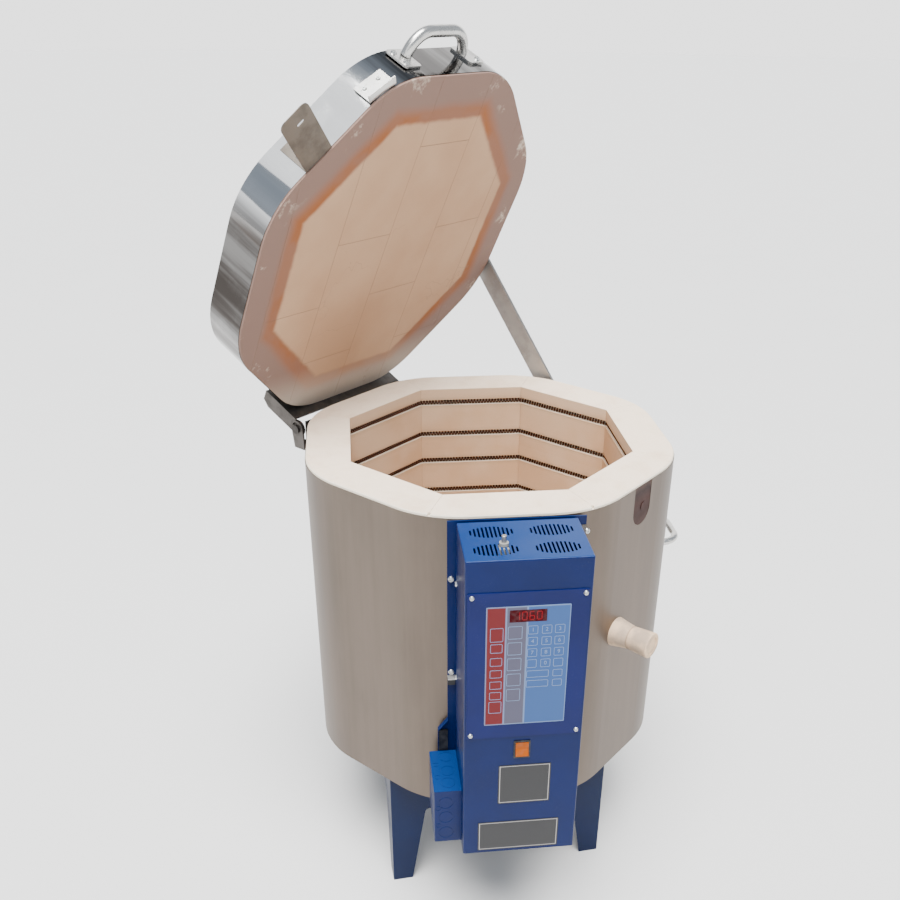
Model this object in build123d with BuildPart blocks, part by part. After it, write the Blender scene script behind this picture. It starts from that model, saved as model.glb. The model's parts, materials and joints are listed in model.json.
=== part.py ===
from build123d import *
import os
from math import atan2, cos, degrees, hypot, radians, sin

# An eight-sided electric kiln with a hinged brick lid and a control box that swings out.
# Millimetres. +Z is up, the control box faces -Y, the origin is on the floor under the kiln's axis.
# Heights on the body are given as drops below the brick rim.

os.makedirs("parts", exist_ok=True)

# Brick chamber
chamber_across = 444.5
wall_thick = 70.2
ring_height = 114.3
ring_count = 4
floor_thick = 63.5
joint_gap = 0.4
rim_chamfer = 2.0
rim_chips = (-112.5, -67.5)
chip_size = (4.2, 4.4, 3.6)
floor_brick_width = 114.3
groove_drops = (26.0, 87.2)
groove_height = 10.6
groove_depth = 13.0

# Jacket, pan and stand
jacket_gap = 0.25
jacket_thick = 0.8
jacket_top_drop = 5.0
corner_radius = 150.0
pan_thick = 1.2
stand_height = 241.3
stand_half = 191.5
stand_turn = 5.5
stand_shift = (-12.0, -16.0)
leg_sheet = 1.6
leg_foot_width = 34.8
leg_top_width = 60.7
leg_arch_height = 160.8
leg_arch_radius = 8.0
frame_flange = 28.0
frame_steel = 3.0

# Heating elements: a coil lies in each groove, one element fills the two grooves of a ring
coil_radius = 4.5
coil_inset = 6.3
coil_bend = 9.0
tail_radius = 2.5
tail_offset = 16.0
tail_reach = 322.0
bushing_radius = 6.0
bushing_collar_radius = 8.5
bushing_collar = 4.0
bushing_inset = 5.0
terminal_radius = 4.0
terminal_length = 16.0
fit_clearance = 0.15
running_clearance = 0.05
sheet_cut = 5.0
overcut = 1.0

# Thermocouple
probe_radius = 4.0
probe_x = 45.0
probe_ring = 2
probe_drop = 56.6
probe_reach = 20.0
probe_head = (26.0, 20.0, 14.0)
probe_screw_offset = 7.0
probe_screw_radius = 1.6
probe_screw_depth = 5.0

# Peephole
peephole_azimuth = -45.0
peephole_s = -40.0
peephole_drop = 243.4
peephole_flange_radius = 23.7
peephole_waist_radius = 18.6
peephole_waist_reach = 28.5
peephole_mid_radius = 21.2
peephole_mid_reach = 14.0
sleeve_wall = 4.7
sleeve_depth = 38.0
inner_brick = 30.0
plug_end_radius = 21.0
plug_edge = 2.2
plug_dish_radius = 14.0
plug_dish_depth = 1.2
plug_reach = 66.0
plug_gap = 0.3
stem_outer_radius = 13.0
stem_inner_radius = 8.4
stem_stop = 18.0
stem_clearance = 0.9

# Notch and cover plate at the top of the jacket
cover_s = 5.0
cover_width = 48.0
cover_drop = 71.4
cover_thick = 0.6
cover_boss = (8.0, -42.0)
cover_boss_radius = 6.5
cover_boss_height = 1.0

# Jacket handle
jacket_handle_drop = 190.0
jacket_handle_span = 98.0
jacket_handle_reach = 44.0
jacket_handle_rod = 6.0
jacket_handle_bend = 30.0
jacket_handle_lean = 4.0
jacket_foot = (24.0, 28.0, 3.0)
jacket_foot_screw = 9.8
foot_corner = 5.0

# Lid
lid_gap = 0.3
lid_open_angle = 63.5
lid_brick_apothem = 296.05
lid_band_apothem = 297.1
lid_corner_radius = 140.7
lid_brick_thick = 63.5
lid_board_thick = 4.8
lid_cover_thick = 1.0
band_thick = 0.8
band_lift = 3.0
lid_row_edges = (-254.0, -139.7, -25.4, 88.9, 203.2)
lid_cross_joints = ((-197.0, 72.0), (-82.5, -41.0), (-82.5, 188.0), (31.8, -189.0), (31.8, 74.0),
                    (146.0, -33.0), (146.0, 195.0))

# Lid hinge
hinge_azimuth = 135.0
hinge_radial = 308.8
hinge_drop = 28.1
ear_offset = 129.0
ear_thick = 3.0
ear_gap = 0.3
hinge_bolt_radius = 4.0
hinge_head_radius = 7.5
hinge_head = 4.0
body_screws_upper = (30.0, (-50.0, -17.0, 17.0, 50.0))
body_screws_lower = (54.0, (-50.0, 50.0))
lid_screw_places = (-100.0, -62.0, 62.0, 100.0)
lid_screw_lifts = (16.0, 48.0)
body_ear_radius = 14.0
body_ear_outer = 24.0
body_ear_drop = 64.0
body_ear_lean = 1.4
body_plate_half = 126.5
body_plate_top_drop = 14.0
body_strap_top_drop = 46.0
lid_ear_radius = 14.5
lid_ear_outer = 26.3
lid_ear_top = 62.0
lid_ear_slope = (8.0, 14.0)
lid_ear_heel = 11.0
lid_plate_bottom = -16.0
hinge_plate = 3.0
stop_radius = 10.0
stop_pin_radius = 1.5
stop_slot_width = 3.5
stop_margin = 1.5

# Prop arm
prop_azimuth = 45.0
prop_pivot = (56.0, -60.0)
prop_catch = (80.0, 35.0)
prop_width = 36.0
prop_thick = 5.0
prop_inner = 300.2
prop_bolt_radius = 5.0
prop_head_radius = 9.0
prop_head = 5.0
stud_head = 4.0
prop_head_taper = 12.0
prop_shank_radius = 3.0
prop_shank = 30.0
prop_side_gap = 0.3
prop_notch_clearance = 0.5
prop_notch_slope = 11.2

# Lid handle, corner bracket and striker plate
handle_span = 122.0
handle_rod = 8.2
handle_reach = 36.0
handle_bend = 39.0
handle_lean = 6.0
handle_z = 43.0
handle_rod_lift = 5.0
handle_foot = (33.0, 44.0, 3.0)
handle_foot_offset = 9.0
handle_screw_offset = 17.0
handle_screw_lift = 13.0
bracket_azimuth = -77.0
bracket_width = 48.0
bracket_height = 33.0
bracket_lip = 12.0
bracket_thick = 2.0
bracket_z = 4.0
bracket_screws = ((-14.0, 22.0), (11.0, 22.0))
striker_x = -27.4
striker_width = 48.8
striker_thick = 1.2
striker_z = 1.6
striker_top = 55.5
striker_reach = 98.0
striker_corner = 10.0
striker_slot = (12.0, 4.0)
striker_screw_offset = 15.0
striker_screw_lifts = (28.0, 45.0)

# Control box
box_left = -80.4
box_right = 90.9
box_front = -415.1
box_rear = -305.0
box_top_drop = 4.8
box_bottom_drop = 517.3
box_sheet = 1.2
box_bend = 2.4
plate_left = -92.5
plate_right = 104.8
plate_front = -295.4
plate_sheet = 1.4
plate_top_drop = 6.0
plate_bottom_drop = 505.0
plate_ear_left = -108.0
plate_ear_rise = 19.4
plate_ear_side_drop = 365.6
plate_flap = 8.0
back_screw_x = -87.0
back_screw_drops = (99.0, 261.0)
corner_screw_turn = -70.7
corner_screw_drop = 36.0
tab_reach = 17.6
tab_height = 26.0
tab_gap = 0.8
tab_notch = 3.0
tab_notch_inset = 2.4
side_screw_y = -309.0
side_screw_drops = (99.0, 261.0)
vent_centres = ((-36.4, -335.5), (46.7, -335.5), (-36.4, -386.0), (46.7, -386.0))
vent_pitch = 5.65
vent_slots = 11
vent_slot_width = 2.8
vent_half_width = 31.5
vent_half_depth = 16.0

# Catch beside the box, and the rubber guard where the wires pass the plate's ear
catch_gap = 1.0
catch_top_drop = 268.2
catch_height = 10.5
catch_reach = 8.6
catch_strip = 2.0
catch_strip_reach = 10.5
guard_margin = 1.6
guard_height = 39.7
guard_thick = 3.2

# Box hinge
box_hinge_x = 93.9
box_hinge_y = -300.4
knuckle_radius = 3.0
hinge_leaf = 1.2
box_hinge_top_drop = 20.0
box_hinge_bottom_drop = 500.0
knuckle_count = 5
knuckle_gap = 0.3
box_pin_radius = 1.5
moving_leaf_width = 20.0
leaf_margin = 0.4

# Controller
controller_centre = 5.0
controller_width = 165.0
controller_top_drop = 52.6
controller_bottom_drop = 293.5
controller_thick = 1.6
controller_corner = 3.0
controller_screw_inset = 6.3
controller_lip = 8.0
overlay_left = -52.0
overlay_right = 62.4
overlay_top_drop = 74.2
overlay_bottom_drop = 270.0
overlay_thick = 0.5
overlay_corner = 1.5
window_left = -20.4
window_right = 30.4
window_top_drop = 80.0
window_bottom_drop = 99.4
window_thick = 2.4
board_thick = 1.6
board_setback = 12.0
board_margin = 2.2
standoff_inset = 6.0
standoff_radius = 3.0
terminal_strip = (-40.0, 10.0, 250.0, 215.0, 16.0)
power_supply = (20.0, 52.0, 170.0, 140.0, 12.0)
small_gap = 0.2

# Rocker switch
bezel_left = -8.0
bezel_right = 16.3
bezel_top_drop = 302.0
bezel_bottom_drop = 333.5
bezel_lip = 1.6
bezel_corner = 2.0
bezel_wall = 2.6
bezel_depth = 22.0
rocker_proud = 3.4
rocker_axle_radius = 1.6
rocker_axle_depth = 2.0
rocker_body_depth = 9.0
rocker_well = 4.0
rocker_tilt = 12.0
rocker_edge = 0.9
rocker_dip = 1.8

# Plates on the box front
rating_plate = (-29.0, 48.4, 347.0, 420.0)
lower_plate = (-57.8, 65.0, 456.0, 512.0)
label_thick = 0.6
label_corner = 2.0

# Lid switch
switch_x = -24.1
switch_y = -373.7
switch_base_radius = 6.5
switch_base_height = 4.4
switch_body = (14.0, 20.0, 26.0)
plunger_radius = 3.5
plunger_proud = 14.9
plunger_depth = 14.0
plunger_edge = 1.2
switch_floor = 3.0

# Inside the box
relay = (26.0, 46.0, 38.0)
relay_drops = (390.0, 445.0)
relay_inset = 10.1
relay_cap = 4.0
relay_cap_inset = (7.0, 12.0)
transformer_core = (46.0, 40.0, 54.0)
transformer_drop = 470.0
transformer_inset = 45.1
transformer_coil = (26.0, 56.0, 34.0)

# Junction box
junction_left = -122.0
junction_front = -392.0
junction_rear = -297.5
junction_gap = 1.5
junction_height = 100.5
junction_sheet = 1.5
junction_bend = 2.0
knockout_radius = 11.1
small_knockout_radius = 4.5
knockout_depth = 0.5
knockout_ring = 0.8
top_knockouts = ((-97.0, -313.0), (-97.6, -346.0), (-99.4, -373.0))
front_knockout_depths = (22.7, 51.0, 82.0)
front_knockout_x = -104.3
top_small_knockouts = ((-114.8, -330.5), (-114.2, -359.5))
front_small_knockouts = ((-115.8, 32.6), (-115.8, 67.0))

# Screws: head radius, head height, shank radius, shank length
small_screw = (3.6, 2.2, 1.8, 9.0)
plate_screw = (4.6, 2.6, 2.2, 12.0)
side_screw = (4.4, 2.2, 1.8, 5.4)
hinge_screw = (6.0, 3.6, 3.0, 24.0)
head_taper = 24.0
recess_reach = 0.6
recess_width = 0.22
recess_depth = 0.5

# Worked-out places
chamber_apothem = chamber_across / 2
wall_apothem = chamber_apothem + wall_thick
jacket_inner = wall_apothem + jacket_gap
jacket_apothem = jacket_inner + jacket_thick
brick_corner_radius = corner_radius - jacket_thick - jacket_gap
chamber_floor = stand_height + pan_thick + floor_thick
rim = chamber_floor + ring_count * ring_height
jacket_bottom = stand_height + pan_thick
plate_ear_top_drop = plate_ear_side_drop - plate_ear_rise
guard_bottom_drop = plate_ear_side_drop + 2 * guard_margin + guard_height
junction_top_drop = guard_bottom_drop + junction_gap
junction_bottom_drop = junction_top_drop + junction_height
lid_thick = lid_brick_thick + lid_board_thick + lid_cover_thick
octagon_turn = 22.5
corner_reach = brick_corner_radius + (wall_apothem - brick_corner_radius) / cos(radians(octagon_turn))


def rounded_octagon(apothem, radius):
    """Octagon with a flat facing each axis, its corners rounded where a radius is given."""
    with BuildSketch() as outline:
        RegularPolygon(apothem, 8, major_radius=False, rotation=octagon_turn)
        if radius > 0:
            fillet(outline.vertices(), radius)
    return outline.sketch


def facet_plane(azimuth, apothem, height, base=Plane.XY):
    """Plane on one flat: x runs counter-clockwise along it, y runs up and z points outward."""
    turn = radians(azimuth)
    local = Plane(
        origin=(apothem * cos(turn), apothem * sin(turn), height),
        x_dir=(-sin(turn), cos(turn), 0),
        z_dir=(cos(turn), sin(turn), 0),
    )
    return Plane(base.location * local.location)


def drill(plane, points, radius, depth):
    """Round holes in the current part, from the plane inward."""
    with BuildSketch(plane) as holes:
        with Locations(*points):
            Circle(radius)
    extrude(holes.sketch, amount=-depth, mode=Mode.SUBTRACT)


def disc(plane, points, radius, height, taper=0):
    """Round bosses on the current part, from the plane outward."""
    with BuildSketch(plane) as bosses:
        with Locations(*points):
            Circle(radius)
    extrude(bosses.sketch, amount=height, taper=taper)


def slab(plane, left, right, bottom, top, thick, mode=Mode.ADD):
    """Flat block on the plane, from its edges in the plane's own x and y."""
    with BuildSketch(plane) as outline:
        with Locations(((left + right) / 2, (bottom + top) / 2)):
            Rectangle(right - left, top - bottom)
    extrude(outline.sketch, amount=thick, mode=mode)


def screws(plane, points, size):
    """Pan-head screws seated on the plane, each with a cross recess in proportion to its head."""
    head_radius, head_height, shank_radius, shank_length = size
    disc(plane, points, head_radius, head_height, head_taper)
    disc(plane, points, shank_radius, -shank_length)
    with BuildSketch(plane.offset(head_height)) as crosses:
        with Locations(*points):
            Rectangle(2 * recess_reach * head_radius, recess_width * head_radius)
            Rectangle(recess_width * head_radius, 2 * recess_reach * head_radius)
    extrude(crosses.sketch, amount=-recess_depth * head_height, mode=Mode.SUBTRACT)


def screw_holes(plane, points, size):
    """Clearance holes for screws seated on the plane."""
    drill(plane, points, size[2] + fit_clearance, size[3] + fit_clearance)


def finish(piece, name):
    """Name a piece and write its file."""
    piece.part.label = name
    export_step(piece.part, f"parts/{name}.step")


# Lid frame: its own coordinates are those of the closed lid, with the underside at zero
hinge_turn = radians(hinge_azimuth)
hinge_point = Vector(hinge_radial * cos(hinge_turn), hinge_radial * sin(hinge_turn), rim - hinge_drop)
hinge_axis = Axis((0, 0, 0), (sin(hinge_turn), -cos(hinge_turn), 0))


def opened(direction):
    """A direction of the closed lid, after the lid has swung open."""
    return Vector(direction).rotate(hinge_axis, -lid_open_angle)


lid_frame = Plane(
    origin=opened(Vector(0, 0, rim + lid_gap) - hinge_point) + hinge_point,
    x_dir=opened((1, 0, 0)),
    z_dir=opened((0, 0, 1)),
)
box_front_plane = facet_plane(-90, -box_front, rim)
plate_plane = facet_plane(-90, -plate_front, rim)
jacket_front_plane = facet_plane(-90, jacket_apothem, rim)
side_wall_plane = Plane(origin=(box_left, 0, rim), x_dir=(0, -1, 0), z_dir=(-1, 0, 0))

brick_plan = rounded_octagon(wall_apothem, brick_corner_radius)
chamber_plan = rounded_octagon(chamber_apothem, 0)
groove_plan = rounded_octagon(chamber_apothem + groove_depth, 0)
jacket_plan = rounded_octagon(jacket_apothem, corner_radius)
jacket_hollow = rounded_octagon(jacket_inner, corner_radius - jacket_thick)
lid_brick_plan = rounded_octagon(lid_brick_apothem, lid_corner_radius - band_thick - jacket_gap)
lid_band_plan = rounded_octagon(lid_band_apothem, lid_corner_radius)
lid_band_hollow = rounded_octagon(lid_band_apothem - band_thick, lid_corner_radius - band_thick)

# Places that several pieces share
ring_tops = [rim - number * ring_height for number in range(ring_count)]
tail_places = []
for ring_top in ring_tops:
    tail_places.append((tail_offset, ring_top - groove_drops[0]))
    tail_places.append((-tail_offset, ring_top - groove_drops[1]))
probe_place = (probe_x, rim - probe_ring * ring_height - probe_drop)
tail_plane = facet_plane(-90, jacket_apothem, 0)
peephole_plane = facet_plane(peephole_azimuth, jacket_apothem, rim - peephole_drop)
peephole_place = [(peephole_s, 0)]
handle_plane = facet_plane(0, jacket_apothem + jacket_foot[2], rim - jacket_handle_drop)
jacket_handle_half = jacket_handle_span / 2
jacket_handle_screws = [
    (side * jacket_handle_half, lift) for side in (-1, 1) for lift in (-jacket_foot_screw, jacket_foot_screw)
]
back_screw_places = [(back_screw_x, -drop) for drop in back_screw_drops]
corner_centre = (jacket_apothem - corner_radius) / cos(radians(octagon_turn))
corner_centre_x = corner_centre * cos(radians(-67.5))
corner_centre_y = corner_centre * sin(radians(-67.5))
corner_screw_plane = Plane(
    origin=(
        corner_centre_x + corner_radius * cos(radians(corner_screw_turn)),
        corner_centre_y + corner_radius * sin(radians(corner_screw_turn)),
        rim - corner_screw_drop,
    ),
    x_dir=(-sin(radians(corner_screw_turn)), cos(radians(corner_screw_turn)), 0),
    z_dir=(cos(radians(corner_screw_turn)), sin(radians(corner_screw_turn)), 0),
)
hinge_body_plane = facet_plane(hinge_azimuth, jacket_apothem + hinge_plate, rim)
hinge_body_screws = [
    (along, -drop) for drop, places in (body_screws_upper, body_screws_lower) for along in places
]
prop_plane = facet_plane(prop_azimuth, prop_inner, rim)
sleeve_hole_radius = stem_outer_radius + sleeve_wall + plug_gap
sleeve_hole_depth = jacket_apothem - chamber_apothem - inner_brick

# Stand: a square frame of angle steel
stand_centre = Plane(
    origin=(stand_shift[0], stand_shift[1], 0),
    x_dir=(cos(radians(stand_turn)), sin(radians(stand_turn)), 0),
)
frame_half = stand_half - leg_sheet
with BuildPart() as stand_frame:
    with BuildSketch(stand_centre.offset(stand_height - frame_steel)):
        Rectangle(2 * frame_half, 2 * frame_half)
        Rectangle(2 * (frame_half - frame_flange), 2 * (frame_half - frame_flange), mode=Mode.SUBTRACT)
    extrude(amount=frame_steel)
    with BuildSketch(stand_centre.offset(stand_height - frame_flange)):
        Rectangle(2 * frame_half, 2 * frame_half)
        Rectangle(2 * (frame_half - frame_steel), 2 * (frame_half - frame_steel), mode=Mode.SUBTRACT)
    extrude(amount=frame_flange - frame_steel)
finish(stand_frame, "stand_frame")


def leg_wing():
    """Half of one side: a tapered leg that runs into the apron at mid-side, drawn from the corner."""
    reach = stand_half - joint_gap / 2
    with BuildSketch() as outline:
        with BuildLine():
            Polyline(
                (0, 0),
                (leg_foot_width, 0),
                (leg_top_width, leg_arch_height),
                (reach, leg_arch_height),
                (reach, stand_height),
                (0, stand_height),
                close=True,
            )
        make_face()
        fillet(outline.vertices().sort_by_distance((leg_top_width, leg_arch_height))[0], leg_arch_radius)
    return outline.sketch


wing = leg_wing()
leg_names = ("leg_right_rear", "leg_left_rear", "leg_left_front", "leg_right_front")
for number, leg_name in enumerate(leg_names):
    corner_turn = stand_turn + 90 * number
    corner_out = Plane(
        origin=stand_centre.origin,
        x_dir=(cos(radians(corner_turn)), sin(radians(corner_turn)), 0),
    )
    side_face = Plane(
        origin=corner_out.from_local_coords((stand_half, stand_half, 0)),
        x_dir=-corner_out.y_dir,
        z_dir=-corner_out.x_dir,
    )
    next_face = Plane(
        origin=corner_out.from_local_coords((stand_half, stand_half, 0)),
        x_dir=-corner_out.x_dir,
        z_dir=corner_out.y_dir,
    )
    with BuildPart() as leg:
        extrude(side_face.location * wing, amount=leg_sheet)
        extrude(next_face.location * wing, amount=-leg_sheet)
        fillet(leg.edges().filter_by(Axis.Z).sort_by_distance(side_face.origin)[0], leg_sheet)
    finish(leg, leg_name)

with BuildPart() as base_pan:
    with BuildSketch(Plane.XY.offset(stand_height)):
        add(jacket_plan)
    extrude(amount=pan_thick)
finish(base_pan, "base_pan")

# Floor slab: rows of bricks with thin joints
with BuildPart() as floor_slab:
    with BuildSketch(Plane.XY.offset(jacket_bottom)):
        add(brick_plan)
        for row in (-1.5, -0.5, 0.5, 1.5):
            with Locations((0, row * floor_brick_width)):
                Rectangle(2 * jacket_apothem, joint_gap, mode=Mode.SUBTRACT)
    extrude(amount=floor_thick)
finish(floor_slab, "floor_slab")

# Brick rings: eight mitred bricks each, with two grooves for the element
for number, ring_top in enumerate(ring_tops):
    with BuildPart() as brick_ring:
        with BuildSketch(Plane.XY.offset(ring_top - ring_height)):
            add(brick_plan)
            add(chamber_plan, mode=Mode.SUBTRACT)
            with PolarLocations(0, 8, start_angle=octagon_turn):
                Rectangle(
                    2 * jacket_apothem, joint_gap, align=(Align.MIN, Align.CENTER), mode=Mode.SUBTRACT
                )
        extrude(amount=ring_height)
        for drop in groove_drops:
            with BuildSketch(Plane.XY.offset(ring_top - drop - groove_height / 2)) as groove:
                add(groove_plan)
            extrude(groove.sketch, amount=groove_height, mode=Mode.SUBTRACT)
        upper = ring_top - groove_drops[0]
        lower = ring_top - groove_drops[1]
        with BuildSketch(facet_plane(-90, chamber_apothem - overcut, (upper + lower) / 2)) as crossing:
            SlotCenterToCenter(
                hypot(2 * tail_offset, upper - lower),
                groove_height,
                rotation=-degrees(atan2(upper - lower, 2 * tail_offset)),
            )
        extrude(crossing.sketch, amount=groove_depth + overcut, mode=Mode.SUBTRACT)
        drill(
            tail_plane,
            tail_places[2 * number : 2 * number + 2],
            bushing_radius + fit_clearance,
            jacket_apothem - chamber_apothem,
        )
        if number == probe_ring:
            drill(tail_plane, [probe_place], probe_radius + fit_clearance,
                  jacket_apothem - chamber_apothem + overcut)
        if number == 0:
            chamfer(
                brick_ring.edges().filter_by(
                    lambda edge: edge.center().Z > rim - joint_gap
                    and hypot(edge.center().X, edge.center().Y) > wall_apothem - groove_height
                ),
                rim_chamfer,
            )
            chip_width, chip_drop, chip_depth = chip_size
            for azimuth in rim_chips:
                slab(facet_plane(azimuth, corner_reach - chip_depth, rim), -chip_width / 2, chip_width / 2,
                     -chip_drop, overcut, chip_depth + overcut, mode=Mode.SUBTRACT)
            screw_holes(hinge_body_plane, hinge_body_screws, hinge_screw)
            screw_holes(corner_screw_plane, [(0, 0)], plate_screw)
            screw_holes(plate_plane, back_screw_places[:1], plate_screw)
            drill(facet_plane(prop_azimuth, jacket_apothem, rim), [prop_pivot],
                  prop_shank_radius + fit_clearance, prop_shank + fit_clearance)
        if number == 1:
            screw_holes(handle_plane, jacket_handle_screws, small_screw)
        if number == 2:
            screw_holes(plate_plane, back_screw_places[1:], plate_screw)
        if number in (1, 2):
            drill(peephole_plane, peephole_place, sleeve_hole_radius, sleeve_hole_depth)
            drill(peephole_plane.offset(-sleeve_hole_depth), peephole_place,
                  stem_inner_radius + stem_clearance + plug_gap, inner_brick + overcut)
    finish(brick_ring, f"brick_ring_{number + 1}")

# Elements: down the upper groove, across to the lower one, and out through the front wall
coil_apothem = chamber_apothem + coil_inset
coil_corner = coil_apothem / cos(radians(octagon_turn))


def coil_loop(height):
    """Corners of one turn round the chamber, counter-clockwise from the front right corner."""
    turns = [radians(-67.5 + 45 * corner) for corner in range(8)]
    return [(coil_corner * cos(turn), coil_corner * sin(turn), height) for turn in turns]


for number, ring_top in enumerate(ring_tops):
    coil_seat = coil_radius + small_gap - groove_height / 2
    upper = ring_top - groove_drops[0] + coil_seat
    lower = ring_top - groove_drops[1] + coil_seat
    route = [(tail_offset, -coil_apothem, upper)]
    route += coil_loop(upper)
    route += [(-tail_offset, -coil_apothem, upper), (tail_offset, -coil_apothem, lower)]
    route += coil_loop(lower)
    route += [(-tail_offset, -coil_apothem, lower)]
    with BuildPart() as element:
        with BuildLine() as coil_path:
            FilletPolyline(*route, radius=coil_bend)
        with BuildSketch(Plane(origin=route[0], x_dir=(0, 1, 0), z_dir=(1, 0, 0))):
            Circle(coil_radius)
        sweep(path=coil_path.line)
        for x, z in tail_places[2 * number : 2 * number + 2]:
            with BuildSketch(facet_plane(-90, coil_apothem, z)) as tail:
                with Locations((x, 0)):
                    Circle(tail_radius)
            extrude(tail.sketch, amount=tail_reach - coil_apothem)
    finish(element, f"element_{number + 1}")

with BuildPart() as element_bushings:
    bushing_seat = -plate_front
    bushing_start = chamber_apothem + groove_depth + bushing_inset
    disc(facet_plane(-90, bushing_start, 0), tail_places, bushing_radius, bushing_seat - bushing_start)
    disc(facet_plane(-90, bushing_seat, 0), tail_places, bushing_collar_radius, bushing_collar)
    drill(facet_plane(-90, bushing_seat + bushing_collar, 0), tail_places, tail_radius + fit_clearance,
          bushing_seat + bushing_collar - chamber_apothem)
finish(element_bushings, "element_bushings")

with BuildPart() as element_terminals:
    disc(facet_plane(-90, tail_reach + overcut, 0), tail_places, terminal_radius, -terminal_length)
    drill(facet_plane(-90, tail_reach, 0), tail_places, tail_radius + fit_clearance, terminal_length)
finish(element_terminals, "element_terminals")

with BuildPart() as thermocouple:
    head_width, head_height, head_depth = probe_head
    disc(facet_plane(-90, chamber_apothem - probe_reach, 0), [probe_place], probe_radius,
         -plate_front - chamber_apothem + probe_reach)
    slab(
        facet_plane(-90, -plate_front, 0),
        probe_x - head_width / 2,
        probe_x + head_width / 2,
        probe_place[1] - head_height / 2,
        probe_place[1] + head_height / 2,
        head_depth,
    )
    probe_screws = [(probe_x + side * probe_screw_offset, probe_place[1]) for side in (-1, 1)]
    drill(facet_plane(-90, -plate_front + head_depth, 0), probe_screws, probe_screw_radius, probe_screw_depth)
finish(thermocouple, "thermocouple")

# Jacket: a thin stainless sheet wrapped round the bricks
with BuildPart() as jacket:
    with BuildSketch(Plane.XY.offset(jacket_bottom)):
        add(jacket_plan)
        add(jacket_hollow, mode=Mode.SUBTRACT)
    extrude(amount=rim - jacket_top_drop - jacket_bottom)
    drill(tail_plane, tail_places, bushing_radius + fit_clearance, sheet_cut)
    drill(tail_plane, [probe_place], probe_radius + fit_clearance, sheet_cut)
    drill(peephole_plane, peephole_place, sleeve_hole_radius, sheet_cut)
    with BuildSketch(facet_plane(peephole_azimuth, jacket_apothem, rim)) as notch:
        with Locations((cover_s, -cover_drop / 2 + cover_width / 4)):
            Rectangle(cover_width, cover_drop - cover_width / 2)
        with Locations((cover_s, -cover_drop + cover_width / 2)):
            Circle(cover_width / 2)
    extrude(notch.sketch, amount=-sheet_cut, mode=Mode.SUBTRACT)
    screw_holes(hinge_body_plane, hinge_body_screws, hinge_screw)
    screw_holes(corner_screw_plane, [(0, 0)], plate_screw)
    screw_holes(plate_plane, back_screw_places, plate_screw)
    screw_holes(handle_plane, jacket_handle_screws, small_screw)
    drill(facet_plane(prop_azimuth, jacket_apothem, rim), [prop_pivot], prop_shank_radius + fit_clearance,
          sheet_cut)
finish(jacket, "jacket")

with BuildPart() as stained_cover_plate:
    cover_plane = facet_plane(peephole_azimuth, wall_apothem + small_gap / 2, rim)
    inner_half = cover_width / 2 - small_gap
    with BuildSketch(cover_plane) as cover_face:
        with Locations((cover_s, (-cover_drop + cover_width / 2 - jacket_top_drop) / 2)):
            Rectangle(2 * inner_half, cover_drop - cover_width / 2 - jacket_top_drop)
        with Locations((cover_s, -cover_drop + cover_width / 2)):
            Circle(inner_half)
    extrude(cover_face.sketch, amount=cover_thick)
    disc(cover_plane.offset(cover_thick), [cover_boss], cover_boss_radius, cover_boss_height)
finish(stained_cover_plate, "stained_cover_plate")


def bow_handle(plane, half_span, reach, rod, bend, lean):
    """Round-rod bow that stands on the plane: short legs, wide round shoulders and a grip."""
    with BuildLine(plane) as bow_path:
        FilletPolyline(
            (-half_span, 0, 0),
            (-half_span + lean, 0, reach),
            (half_span - lean, 0, reach),
            (half_span, 0, 0),
            radius=bend,
        )
    bow_start = Plane(origin=bow_path.line @ 0, z_dir=bow_path.line % 0)
    with BuildSketch(bow_start) as rod_section:
        Circle(rod)
    sweep(rod_section.sketch, path=bow_path.line)


def handle_feet(plane, half_span, size):
    """Flat rounded feet under both ends of a bow."""
    width, height, thick = size
    with BuildSketch(plane) as feet:
        with Locations((-half_span, 0), (half_span, 0)):
            RectangleRounded(width, height, foot_corner)
    extrude(feet.sketch, amount=-thick)


with BuildPart() as jacket_handle:
    handle_feet(handle_plane, jacket_handle_half, jacket_foot)
    bow_handle(handle_plane, jacket_handle_half, jacket_handle_reach - jacket_foot[2] - jacket_handle_rod,
               jacket_handle_rod, jacket_handle_bend, jacket_handle_lean)
    screw_holes(handle_plane, jacket_handle_screws, small_screw)
finish(jacket_handle, "jacket_handle")

# Screws that go into the body: back plate, corner, handle and hinge bracket
with BuildPart() as body_screws:
    screws(handle_plane, jacket_handle_screws, small_screw)
    screws(plate_plane, back_screw_places, plate_screw)
    screws(corner_screw_plane, [(0, 0)], plate_screw)
    screws(hinge_body_plane, hinge_body_screws, hinge_screw)
finish(body_screws, "body_screws")


def peephole_at(reach):
    """Plane across the peephole, centred on its bore."""
    return Plane(peephole_plane.location * Location((peephole_s, 0, reach)))


# Peephole: a fixed ceramic collar and the plug that closes it
with BuildPart() as peephole_tube:
    with BuildSketch(peephole_at(0)) as collar_base:
        Circle(peephole_flange_radius)
    with BuildSketch(peephole_at(peephole_mid_reach)) as collar_mid:
        Circle(peephole_mid_radius)
    with BuildSketch(peephole_at(peephole_waist_reach - plug_gap)) as collar_top:
        Circle(peephole_waist_radius)
    loft([collar_base.sketch.face(), collar_mid.sketch.face(), collar_top.sketch.face()])
    disc(peephole_plane, peephole_place, stem_outer_radius + sleeve_wall, -sleeve_depth)
    with BuildSketch(peephole_at(peephole_waist_reach + overcut)) as bore_top:
        Circle(stem_outer_radius + stem_clearance)
    with BuildSketch(peephole_at(-sleeve_depth - overcut)) as bore_end:
        Circle(stem_inner_radius + 2 * stem_clearance + plug_gap)
    loft([bore_top.sketch.face(), bore_end.sketch.face()], mode=Mode.SUBTRACT)
finish(peephole_tube, "peephole_tube")

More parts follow.
